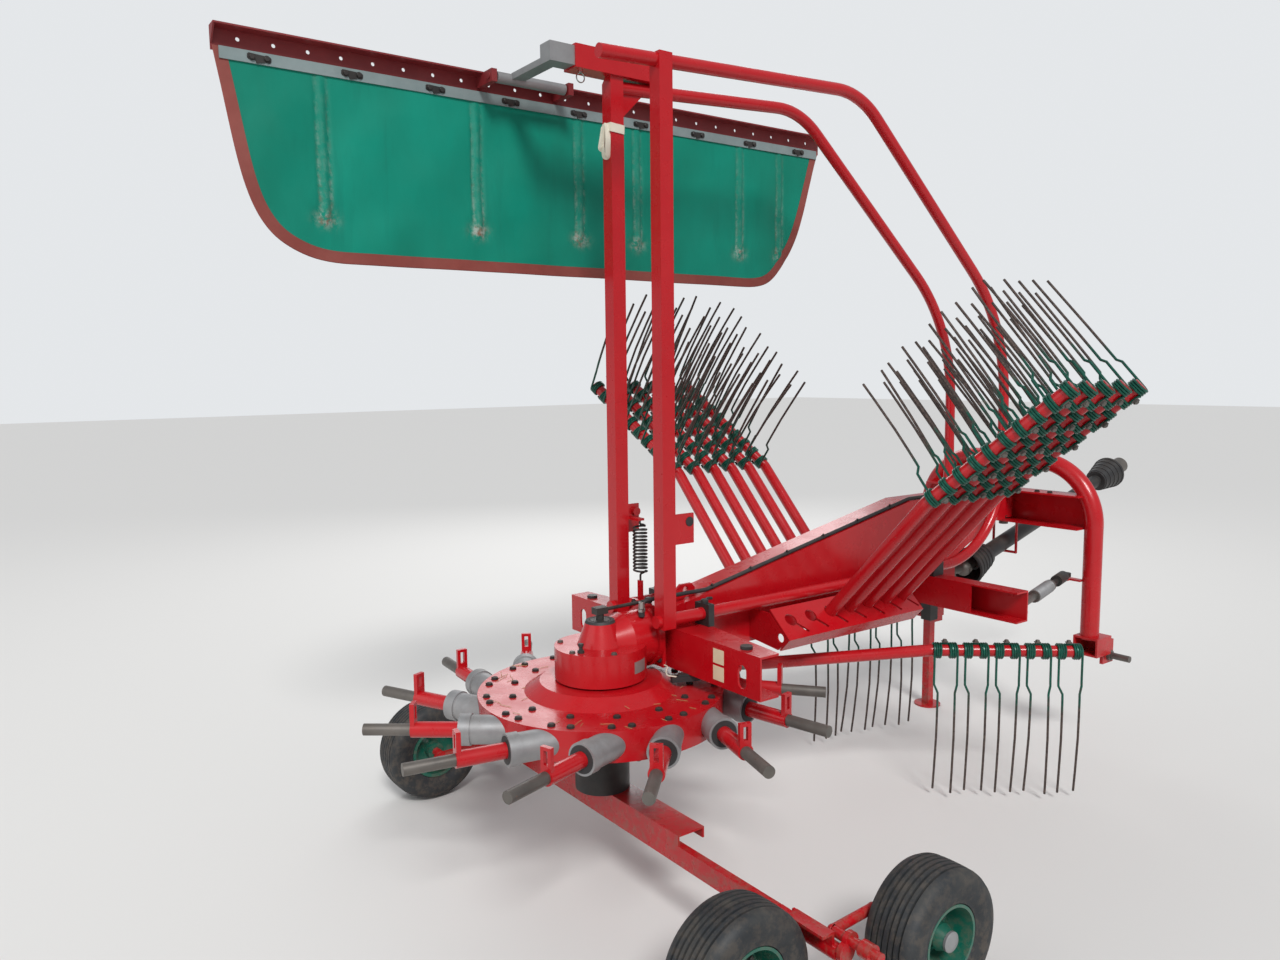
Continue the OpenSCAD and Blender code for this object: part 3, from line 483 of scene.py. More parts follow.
@dataclass(frozen=True)
class TineFinish:
    """Spring wire that is still green at the coil and worn dark to its tip."""

    name: str = "tine_wire"
    green: Triple = (0.002, 0.058, 0.038)
    bare: Triple = (0.045, 0.032, 0.028)

    def material(self) -> Material:
        """Builds the finish as a material."""
        chain = NodeChain(self.name)
        edge = chain.math("ADD", chain.mark("reach"), chain.ramp(chain.noise(26.0, 3.0), 0.3, 0.7, 0.0, 0.2))
        worn = chain.ramp(edge, 0.36, 0.52)
        green = chain.mix(chain.ramp(chain.noise(60.0, 4.0), 0.35, 0.7), self.green, (0.004, 0.105, 0.068))
        bare = chain.mix(chain.ramp(chain.noise(90.0, 5.0, offset=4.0), 0.4, 0.7), self.bare, (0.12, 0.085, 0.07))
        colour = chain.mix(worn, green, bare)
        speck = chain.ramp(chain.noise(140.0, 6.0, 0.7, offset=9.0), 0.6, 0.66, 0.0, 0.8)
        colour = chain.mix(speck, colour, (0.09, 0.05, 0.035))
        chain.link(colour, chain.shader.inputs["Base Color"])
        chain.link(chain.ramp(worn, 0.0, 1.0, 0.34, 0.5), chain.shader.inputs["Roughness"])
        chain.settle(chain.shader, Metallic=0.25)
        chain.bump((chain.noise(500.0, 3.0), 0.3, 0.0004))
        return chain.material


@dataclass(frozen=True)
class CurtainFinish:
    """Green coated cloth, dusty and creased, with scuffed pockets."""

    name: str = "curtain_cloth"
    green: Triple = (0.0, 0.175, 0.115)
    pale: Triple = (0.0, 0.240, 0.165)
    rubbed: Triple = (0.30, 0.36, 0.31)
    stained: Triple = (0.20, 0.12, 0.08)

    def material(self) -> Material:
        """Builds the finish as a material."""
        chain = NodeChain(self.name)
        wash = chain.ramp(chain.noise(2.4, 5.0, 0.6, (1.0, 1.0, 0.45)), 0.35, 0.7)
        colour = chain.mix(wash, self.green, self.pale)
        streak = chain.ramp(chain.noise(13.0, 5.0, 0.7, (1.0, 1.0, 0.12), 6.0), 0.55, 0.8, 0.0, 0.4)
        colour = chain.mix(streak, colour, (0.0, 0.10, 0.070))
        patchy = chain.ramp(chain.noise(40.0, 7.0, 0.75, offset=3.0), 0.42, 0.58)
        scuff = chain.product(chain.mark("scuff"), patchy)
        rubbed = chain.mix(chain.ramp(chain.noise(55.0, 5.0, offset=12.0), 0.45, 0.60), self.rubbed, self.stained)
        colour = chain.mix(scuff, colour, rubbed)
        dust = chain.ramp(chain.noise(70.0, 8.0, 0.75, offset=8.0), 0.6, 0.75, 0.0, 0.3)
        colour = chain.mix(dust, colour, (0.03, 0.19, 0.14))
        chain.link(colour, chain.shader.inputs["Base Color"])
        uneven = chain.ramp(chain.noise(9.0, 3.0, offset=2.0), 0.3, 0.7, 0.40, 0.60)
        chain.link(uneven, chain.shader.inputs["Roughness"])
        chain.settle(chain.shader, Specular_IOR_Level=0.25)
        chain.bump((chain.noise(900.0, 2.0), 0.18, 0.0003),
                   (chain.noise(6.0, 4.0, 0.6, (1.0, 1.0, 0.5), 5.0), 0.35, 0.006))
        return chain.material


class Paints:
    """Every finish of the machine, each built once."""

    def __init__(self) -> None:
        """Builds all the finishes."""
        plain = [RED, DARK_RED, GALVANISED, DARK_STEEL, BARE_STEEL, BLACK_RUBBER, BLACK_PLASTIC, TYRE, RIM_GREEN,
                 CREAM, PLATE_GREY, STRAP, STRAW, STRIP, SHINY]
        self.by_name = {f.name: f.material() for f in plain}
        self.tine = TineFinish().material()
        self.curtain = CurtainFinish().material()
        self.binding = Finish("curtain_binding", (0.19, 0.030, 0.022), (0.26, 0.06, 0.045), chips=0.0, dust=0.35,
                              rough=(0.5, 0.7), fine=700.0, bump=0.3).material()

    def of(self, finish: Finish) -> Material:
        """Returns the material of a finish."""
        return self.by_name[finish.name]

    def dress_frame(self) -> None:
        """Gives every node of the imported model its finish."""
        by_slot = {"red_paint": RED, "galvanised": GALVANISED, "dark_steel": DARK_STEEL, "bare_steel": BARE_STEEL,
                   "tine_green": RIM_GREEN, "black_rubber": BLACK_RUBBER, "black_plastic": BLACK_PLASTIC,
                   "curtain_green": RIM_GREEN, "tyre": TYRE, "rim_green": RIM_GREEN}
        slots = {row["node"]: row["material_slot"] for row in frame["record"]["subparts"]}
        for name, node in frame["nodes"].items():
            finish = {"curtain_rail": DARK_RED, "curtain_strip": STRIP}.get(name, by_slot[slots[name]])
            node.data.materials.clear()
            node.data.materials.append(self.of(finish))


class GeometryTree:
    """A geometry tree with named inputs, whose result becomes the mesh of a piece."""

    def __init__(self, name: str, inputs: dict[str, str]) -> None:
        """Starts a tree.

        Args:
            name: The tree's name.
            inputs: The kind of each input, apart from the geometry and the finish.
        """
        self.tree = bpy.data.node_groups.new(name, "GeometryNodeTree")
        sockets = self.tree.interface
        sockets.new_socket("Geometry", in_out="INPUT", socket_type="NodeSocketGeometry")
        self.inputs: dict[str, str] = {}
        for key, kind in {**inputs, "Finish": "Material"}.items():
            self.inputs[key] = sockets.new_socket(key, in_out="INPUT", socket_type="NodeSocket" + kind).identifier
        sockets.new_socket("Geometry", in_out="OUTPUT", socket_type="NodeSocketGeometry")
        self.start, self.end = self.node("NodeGroupInput"), self.node("NodeGroupOutput")

    def node(self, kind: str) -> bpy.types.Node:
        """Adds a node."""
        return self.tree.nodes.new(kind)

    def join(self, *rows: tuple[bpy.types.Node, str | int, bpy.types.Node, str | int]) -> None:
        """Joins sockets, each row giving a node, its output, the next node and its input."""
        for source, leaving, target, entering in rows:
            self.tree.links.new(source.outputs[leaving], target.inputs[entering])

    def close(self, source: bpy.types.Node, leaving: str) -> None:
        """Makes the shapes real, gives them their finish and hands them out."""
        real, paint = self.node("GeometryNodeRealizeInstances"), self.node("GeometryNodeSetMaterial")
        self.join((source, leaving, real, "Geometry"), (real, "Geometry", paint, "Geometry"),
                  (self.start, "Finish", paint, "Material"), (paint, "Geometry", self.end, "Geometry"))

    def run(self, name: str, mesh: bpy.types.Mesh, values: dict[str, float | Material | Piece]) -> Piece:
        """Runs the tree on a mesh.

        Args:
            name: The name of the result.
            mesh: The mesh that goes in.
            values: What each named input gets.

        Returns:
            The result, at the origin.
        """
        piece = bpy.data.objects.new(name, mesh)
        bpy.context.scene.collection.objects.link(piece)
        modifier = piece.modifiers.new("tree", "NODES")
        modifier.node_group = self.tree
        for key, value in values.items():
            modifier[self.inputs[key]] = value
        graph = bpy.context.evaluated_depsgraph_get()
        ready = piece.evaluated_get(graph)
        result = bpy.data.meshes.new_from_object(ready, preserve_all_data_layers=True, depsgraph=graph)
        piece.modifiers.clear()
        piece.data = result
        return piece


class CopyTree(GeometryTree):
    """A geometry tree that puts copies of one small piece on marked points, each with its own turn."""

    def __init__(self) -> None:
        """Builds the tree."""
        super().__init__("copies_on_points", {"Piece": "Object"})
        source = self.node("GeometryNodeObjectInfo")
        source.transform_space = "ORIGINAL"
        heading = self.node("GeometryNodeInputNamedAttribute")
        heading.data_type = "FLOAT_VECTOR"
        heading.inputs["Name"].default_value = "turn"
        euler = self.node("FunctionNodeEulerToRotation")
        points = self.node("GeometryNodeMeshToPoints")
        spread = self.node("GeometryNodeInstanceOnPoints")
        self.join((self.start, "Geometry", points, "Mesh"), (self.start, "Piece", source, "Object"),
                  (points, "Points", spread, "Points"), (source, "Geometry", spread, "Instance"),
                  (heading, "Attribute", euler, 0), (euler, 0, spread, "Rotation"))
        self.close(spread, "Instances")

    def make(self, name: str, source: Shell, spots: Sequence[Matrix], material: Material,
             smooth: float | None = SHARP_ANGLE) -> Piece:
        """Copies a small piece to many places and makes the result one mesh.

        Args:
            name: The name of the result.
            source: The small piece, in metres.
            spots: Where each copy stands, in metres.
            material: The finish of all copies.
            smooth: Edges sharper than this angle stay sharp.

        Returns:
            The result, at the origin.
        """
        model = source.build(name + "_model", material, smooth)
        mesh = bpy.data.meshes.new(name)
        mesh.from_pydata([tuple(m.translation) for m in spots], [], [])
        layer = mesh.attributes.new("turn", "FLOAT_VECTOR", "POINT")
        for i, spot in enumerate(spots):
            layer.data[i].vector = tuple(spot.to_euler("XYZ"))
        piece = self.run(name, mesh, {"Piece": model, "Finish": material})
        bpy.data.objects.remove(model)
        return piece


class SpringTree(GeometryTree):
    """A geometry tree that winds a helical spring about the Z axis."""

    def __init__(self) -> None:
        """Builds the tree."""
        super().__init__("wound_spring", {key: "Float" for key in ("Turns", "Radius", "Height", "Wire")})
        spiral = self.node("GeometryNodeCurveSpiral")
        spiral.inputs["Resolution"].default_value = 20
        ring = self.node("GeometryNodeCurvePrimitiveCircle")
        ring.inputs["Resolution"].default_value = 8
        wire = self.node("GeometryNodeCurveToMesh")
        wire.inputs["Fill Caps"].default_value = True
        shade = self.node("GeometryNodeSetShadeSmooth")
        self.join((self.start, "Turns", spiral, "Rotations"), (self.start, "Radius", spiral, "Start Radius"),
                  (self.start, "Radius", spiral, "End Radius"), (self.start, "Height", spiral, "Height"),
                  (self.start, "Wire", ring, "Radius"), (spiral, "Curve", wire, "Curve"),
                  (ring, "Curve", wire, "Profile Curve"), (wire, "Mesh", shade, "Geometry"))
        self.close(shade, "Geometry")

    def wind(self, name: str, turns: float, radius: float, height: float, wire: float, placing: Matrix,
             material: Material) -> Piece:
        """Winds one spring.

        Args:
            name: The spring's name.
            turns: Number of turns.
            radius: Radius of the coil's middle line, in metres.
            height: Length of the coil.
            wire: Radius of the wire.
            placing: Where the coil's foot stands, its axis along Z.
            material: The finish.

        Returns:
            The spring, at the origin.
        """
        values = {"Turns": turns, "Radius": radius, "Height": height, "Wire": wire, "Finish": material}
        piece = self.run(name, bpy.data.meshes.new(name), values)
        piece.data.transform(placing)
        return piece


@dataclass
class Workshop:
    """What every sub-assembly works with."""

    paints: Paints
    copies: CopyTree
    springs: SpringTree

    def fix(self, shell: Shell, name: str, finish: Finish, body: str, smooth: float | None = SHARP_ANGLE) -> None:
        """Builds one small piece and lets it ride on a body."""
        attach(shell.build(name, self.paints.of(finish), smooth), body)

    def spread(self, source: Shell, name: str, finish: Finish, body: str, spots: Sequence[Matrix]) -> None:
        """Copies a small piece to many places and lets the copies ride on a body."""
        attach(self.copies.make(name, source, spots, self.paints.of(finish)), body)


def hex_bolt(width: float, head: float, washer: float) -> Shell:
    """Draws a bolt head on its washer, standing on z = 0.

    Args:
        width: Radius of the head over its corners.
        head: Height of the head.
        washer: Radius of the washer.

    Returns:
        The bolt.
    """
    shell = Shell()
    shell.lathe([(0, 0), (washer, 0), (washer, 0.0016), (0, 0.0016)], Matrix(), 16)
    shell.lathe([(0, 0.001), (width, 0.001), (width, head * 0.85), (width * 0.82, head), (0, head)], Matrix(), 6)
    return shell


@dataclass
class TineSet:
    """The double tines of all arms."""

    shop: Workshop
    arm_radius: float = 22.5
    wire: float = 9.0
    pitch: float = 57.5
    pairs: int = 5
    coil_start: float = 28.0
    arm_inner: float = 730.0
    arm_bend: float = 16.3
    length: float = 552.0
    root: float = 12.0
    coil_edge: float = 14.0
    coil_width: float = 27.0
    coil_turns: float = 3.25
    coil_points: int = 46
    sway: float = 0.007
    drag: float = 0.012
    bend_power: float = 1.6
    step: float = 16.0
    jog: float = 11.0
    bend_reach: float = 1319.0
    rack_first: float = 655.0
    rack_pitch: float = 99.0
    rack_slope: float = 43.0
    rack_end: int = 7
    rack_in: tuple[float, float] = (170.0, 826.0)
    foot: float = 57.2
    stow_above: float = 595.0
    stow_roll: float = 12.4
    left_shift: float = 65.0

    def double_tine(self) -> Shell:
        """Winds one double tine, with marks that rise from 0 at the coils to 1 at the tips."""
        radius = self.arm_radius + 0.3 + self.wire / 2
        halves: list[list[tuple[Vector, float]]] = []
        for s in (-1, 1):
            middle = s * self.pitch / 2
            line: list[tuple[Vector, float]] = []
            edge = middle + s * self.coil_edge
            back = -radius - self.step
            prong = [(-radius, self.length), (-radius - 7, 470), (-radius - 15, 330), (back, 230), (back, 172),
                     (back + 1, 154), (-radius - 1, 126), (-radius, 108), (-radius, 40), (-radius, self.root)]
            for y, down in prong:
                inward = self.jog if down > 140 else 0.0
                lift = 0.0 if down < 300 else (down - 300) * 0.055
                reach = (down - self.root) / (self.length - self.root)
                line.append((Vector((edge - s * inward, y + lift, -down)), reach))
            for i in range(self.coil_points):
                angle = 2 * math.pi * self.coil_turns * i / (self.coil_points - 1)
                x = edge - s * (self.coil_width * i / (self.coil_points - 1))
                line.append((Vector((x, -radius * math.cos(angle), radius * math.sin(angle))), 0.0))
            halves.append(line)
        bridge = [(Vector((x, 0.0, radius)), 0.0) for x in (-8.0, 8.0)]
        whole = halves[0] + bridge + list(reversed(halves[1]))
        shell = Shell()
        shell.sweep([p / 1000 for p, _ in whole], self.wire / 2000, 7, [m for _, m in whole])
        return shell

    def along_arm(self) -> list[Matrix]:
        """Returns the places of the double tines on an arm whose inner end is at the origin."""
        bend = shift(self.arm_inner, 0, 0) @ turn("Z", -self.arm_bend)
        return [bend @ shift(self.coil_start + (2 * i + 0.5) * self.pitch, 0, 0) for i in range(self.pairs)]

    def mounted(self, number: int) -> Matrix:
        """Returns the place of a mounted arm."""
        angle = FIRST_ARM + number * ARM_STEP
        return turn("Z", angle) @ shift(self.bend_reach - self.arm_inner, ARM_OFFSET, ARM_HEIGHT)

    def stowed(self, side: Side, hole: int) -> Matrix:
        """Returns the place of an arm on a rack.

        Args:
            side: The rack.
            hole: Number of the keyhole, from the rear.

        Returns:
            The arm's placing in millimetres.
        """
        slope = math.radians(self.rack_slope)
        x = self.rack_first + hole * self.rack_pitch + (self.left_shift if side is Side.LEFT else 0.0)
        y = side.value * (self.rack_in[0] + self.foot * math.cos(slope))
        z = self.rack_in[1] - self.foot * math.sin(slope)
        return (shift(x, y, z) @ turn("Z", 180 if side is Side.LEFT else 0) @ turn("X", self.rack_slope)
                @ turn("Z", 90 - self.stow_roll) @ turn("Y", -90) @ shift(self.stow_above - self.arm_inner, 0, 0))

    def fit(self, name: str, node: str, body: str, arms: Sequence[Matrix], seed: int) -> None:
        """Fits all double tines and their clips on some arms.

        Args:
            name: The name of the piece.
            node: The node that it stands for.
            body: The body that it rides on.
            arms: Where the arms are.
            seed: Start of the slight bends that use has given the tines.
        """
        spots = [machine(arm @ spot) for arm in arms for spot in self.along_arm()]
        model = self.double_tine()
        piece = self.shop.copies.make(name, model, spots, self.shop.paints.tine, 50.0)
        chance = random.Random(seed)
        per = len(model.verts)
        for n, spot in enumerate(spots):
            turned = spot.to_3x3()
            for half in (0, 1):
                lean = turned @ Vector((chance.gauss(0, self.sway), chance.gauss(0, self.drag), 0))
                for step in range(per // 2):
                    k = step if half == 0 else per - 1 - step
                    piece.data.vertices[n * per + k].co += lean * model.marks[k] ** self.bend_power
        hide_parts(node)
        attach(piece, body)
        clip = Shell()
        clip.block(Vector((-0.011, -0.010, 0.0)), Vector((0.011, 0.010, 0.003)), shift(0, 0, 0.0335), 0.002)
        clip.lathe([(0, 0), (0.0085, 0), (0.0085, 0.006), (0.0065, 0.0075), (0, 0.0075)], shift(0, 0, 0.0365), 6)
        self.shop.spread(clip, name + "_clips", BARE_STEEL, body, spots)
        LOG.info("%s: %d double tines", name, len(spots))

    def build(self) -> None:
        """Fits the tines of the stowed and the mounted arms."""
        for side, first, seed in ((Side.RIGHT, 2, 11), (Side.LEFT, 1, 12)):
            arms = [self.stowed(side, hole) for hole in range(first, self.rack_end)]
            self.fit(f"tines_on_{side.label}_rack", f"stowed_tines_{side.label}", "frame", arms, seed)
        self.fit("tines_on_rotor", "mounted_tines", "rotor", [self.mounted(0), self.mounted(1)], 13)


@dataclass
class Curtain:
    """The hanging cloth of the swath curtain with its binding and clamp bolts."""

    shop: Workshop
    rear: float = -990.0
    length: float = 2450.0
    plane: float = 447.2
    top: float = 2582.0
    low: float = 1995.0
    binding: float = 34.0
    columns: int = 400
    rows: int = 72
    crowding: float = 1.5
    billow: float = 11.0
    pocket: float = 7.5
    seam: float = 4.0
    pucker: float = 8.0
    bolt_pairs: int = 9
    bolt_margin: float = 130.0
    thickness: float = 0.0016
    area: float = 1.29
    pockets: tuple[float, ...] = (0.125, 0.335, 0.50, 0.605, 0.815, 0.905)

    def outline(self) -> list[tuple[float, float]]:
        """Returns the corners of the left, lower and right edges, before they are rounded."""
        front = self.rear + self.length
        return [(self.rear + 5, self.top), (self.rear + 62, self.low + 240), (self.rear + 100, self.low + 130),
                (self.rear + 165, self.low + 50), (self.rear + 290, self.low), (front - 330, self.low),
                (front - 235, self.low + 60), (front - 150, self.low + 190), (front - 5, self.top)]

    def edge(self) -> list[Vector]:
        """Returns the rounded edge from the rear top corner round to the front top corner."""
        return round_path([Vector((x, 0, z)) for x, z in self.outline()], 90.0, 7)

    def bulge(self, x: float, z: float) -> float:
        """Returns how far the cloth stands out at a place, in millimetres.

        Args:
            x: Place along the machine.
            z: Height.

        Returns:
            The distance towards the right side.
        """
        u = (x - self.rear) / self.length
        v = max(0.0, min(1.0, (self.top - z) / (self.top - self.low)))
        depth = 0.0
        stops = (0.0,) + self.pockets + (1.0,)
        for a, b in zip(stops, stops[1:]):
            if a <= u <= b:
                across = math.sin(math.pi * (u - a) / (b - a))
                depth += self.billow * across * math.sin(math.pi * min(1.0, v * 0.9 + 0.06))
        for p in self.pockets:
            off = (u - p) * self.length
            reach = 1.0 if v < 0.72 else max(0.0, 1 - (v - 0.72) / 0.06)
            depth += reach * (self.pocket * hump(off, 0.0, 10.0) - self.seam * hump(abs(off), 19.0, 4.0))
            depth += self.pucker * hump(v, 0.77, 0.045) * hump(off, 0.0, 40.0) * math.cos(off / 10.0)
        depth += 3.0 * math.sin(9.0 * u + 4.0 * v) * v + 2.4 * math.sin(31.0 * u - 3.0 * v) * v * v
        depth += 1.6 * math.sin(55.0 * u + 11.0 * v) + 2.2 * math.sin(23.0 * u + 2.0 * math.sin(9.0 * v)) * v
        return depth * min(1.0, v * 5.0)

    def scuff(self, x: float, z: float) -> float:
        """Returns how scuffed the cloth is at a place, along its pockets and torn at their feet."""
        u, v = (x - self.rear) / self.length, (self.top - z) / (self.top - self.low)
        near = min(abs(u - p) * self.length for p in self.pockets)
        torn = hump(v, 0.78, 0.035) * hump(near, 0.0, 30.0)
        lines = 0.75 * hump(near, 17.0, 5.0) + 0.30 * hump(near, 0.0, 6.0)
        return lines * (v < 0.76) * (0.12 + 0.88 * v) + 1.3 * torn

    def cloth(self) -> Piece:
        """Builds the cloth as one thin sheet."""
        edge = self.edge()
        half = max(range(len(edge)), key=lambda i: -abs(edge[i].x - (self.rear + self.length / 2)))
        left, right = edge[: half + 1], edge[half:]

        def span(z: float, line: Sequence[Vector], outer: Callable[[Iterable[float]], float]) -> float:
            """Returns where a height meets one side of the outline."""
            hits = [a.x + (b.x - a.x) * ((z - a.z) / (b.z - a.z)) for a, b in zip(line, line[1:])
                    if abs(b.z - a.z) > 1e-6 and min(a.z, b.z) - 1e-6 <= z <= max(a.z, b.z) + 1e-6]
            return outer(hits)

        shell = Shell()
        scuffs: list[float] = []
        verts: list[Vector] = []
        for r in range(self.rows + 1):
            t = r / self.rows
            z = max(self.top - (self.top - self.low) * (1 - (1 - t) ** self.crowding), self.low + 0.4)
            a, b = span(z, left, min), span(z, right, max)
            for c in range(self.columns + 1):
                x = a + (b - a) * c / self.columns
                verts.append(at(x, self.plane - self.bulge(x, z), z))
                scuffs.append(self.scuff(x, z))
        w = self.columns + 1
        corners = [r * w + c for r in range(self.rows) for c in range(self.columns)]
        faces = [(i, i + w, i + w + 1, i + 1) for i in corners]
        shell.add(verts, faces)
        piece = shell.build("curtain_cloth", self.shop.paints.curtain, 60.0)
        layer = piece.data.attributes.new("scuff", "FLOAT", "POINT")
        layer.data.foreach_set("value", scuffs)
        area = sum(p.area for p in piece.data.polygons)
        thick = piece.modifiers.new("thickness", "SOLIDIFY")
        thick.thickness = self.thickness
        thick.offset = 0.0
        LOG.info("curtain cloth: %.3f square metres", area)
        return piece

    def border(self) -> Piece:
        """Sews the binding on the three free edges."""
        edge = self.edge()
        dense: list[Vector] = []
        for a, b in zip(edge, edge[1:]):
            steps = max(1, int((b - a).length / 14.0))
            dense += [a + (b - a) * (i / steps) for i in range(steps)]
        dense.append(edge[-1])
        verts: list[Vector] = []
        for i, point in enumerate(dense):
            ahead = (dense[min(i + 1, len(dense) - 1)] - dense[max(i - 1, 0)]).normalized()
            inward = Vector((-ahead.z, 0, ahead.x))
            if inward.z < 0 and abs(ahead.x) > 0.5:
                inward = -inward
            for depth, lift in ((-2.0, 0.0), (0.0, -2.0), (self.binding, -1.9), (self.binding, 1.9), (0.0, 2.0)):
                p = point + inward * depth
                verts.append(at(p.x, self.plane - self.bulge(p.x, p.z) + lift, min(p.z, self.top)))
        n = 5
        faces: list[tuple[int, ...]] = []
        for i in range(len(dense) - 1):
            faces += [(i * n + k, (i + 1) * n + k, (i + 1) * n + (k + 1) % n, i * n + (k + 1) % n) for k in range(n)]
        faces += [tuple(range(n)), tuple(reversed(range((len(dense) - 1) * n, len(dense) * n)))]
        shell = Shell()
        shell.add(verts, faces)
        return shell.build("curtain_binding", self.shop.paints.binding, 30.0)

    def fasteners(self) -> None:
        """Bolts the clamp strip to the rail in pairs."""
        spots: list[Matrix] = []
        clip = Shell()
        clip.block(Vector((-0.034, -0.009, 0)), Vector((0.034, 0.009, 0.0015)), Matrix(), 0.004)
        clip.block(Vector((-0.012, -0.014, 0)), Vector((0.014, -0.006, 0.003)), turn("Z", 14), 0.002)
        middles: list[Matrix] = []
        z = self.top - 17
        for i in range(self.bolt_pairs):
            x = self.rear + self.bolt_margin + i * (self.length - 2 * self.bolt_margin) / (self.bolt_pairs - 1)
            middles.append(machine(shift(x, self.plane - 6.9, z) @ turn("X", 90) @ turn("Z", (i * 37) % 9 - 4)))
            spots += [machine(shift(x + off, self.plane - 8.3, z) @ turn("X", 90)) for off in (-21.0, 21.0)]
        self.shop.spread(hex_bolt(0.008, 0.007, 0.010), "curtain_strip_bolts", DARK_STEEL, "curtain", spots)
        self.shop.spread(clip, "curtain_strip_clips", DARK_STEEL, "curtain", middles)

    def build(self) -> None:
        """Hangs the cloth, its binding and its fasteners on the rail."""
        cloth = self.cloth()
        border = self.border()
        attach(border, "curtain")
        self.fasteners()
        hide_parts("curtain_sheet")
        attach(cloth, "curtain")


@dataclass
class Wheels:
    """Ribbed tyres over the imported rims."""

    shop: Workshop
    width: float = 155.0
    bead: float = 98.2

    def profile(self) -> list[tuple[float, float]]:
        """Returns the tyre's section with its ribs, in millimetres."""
        half = self.width / 2
        tread = [(WHEEL_RADIUS - 13, -half + 7), (WHEEL_RADIUS - 5, -57.0)]
        for c in (-44.0, -26.0, -9.0, 9.0, 26.0, 44.0):
            crown = WHEEL_RADIUS - 1.0 - 3.2 * (c / 60) ** 2
            tread += [(crown, c - 3.4), (crown - 6.5, c - 1.7), (crown - 6.5, c + 1.7), (crown, c + 3.4)]
        tread += [(WHEEL_RADIUS - 5, 57.0), (WHEEL_RADIUS - 13, half - 7)]
        wall_right = [(WHEEL_RADIUS - 30, half - 0.8), (WHEEL_RADIUS - 46, half), (WHEEL_RADIUS - 64, half - 2),
                      (self.bead + 14, half - 7), (self.bead + 9, half - 9), (self.bead + 3, half - 9),
                      (self.bead, half - 14)]
        wall_left = [(r, -h) for r, h in reversed(wall_right)]
        return tread + wall_right + wall_left

    def build(self) -> None:
        """Fits the four tyres."""
        for row, x, y in WHEELS:
            for side in Side:
                label = f"{row}_{side.label}"
                shell = Shell()
                placing = machine(shift(x, side.value * y, WHEEL_RADIUS) @ turn("X", 90))
                shell.revolve([(r / 1000, h / 1000) for r, h in self.profile()], placing, 96)
                tyre = shell.build(f"ribbed_tyre_{label}", self.shop.paints.of(TYRE), 40.0)
                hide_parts(f"tyre_{label}")
                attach(tyre, f"wheel_{label}")
                LOG.info("tyre %s", label)


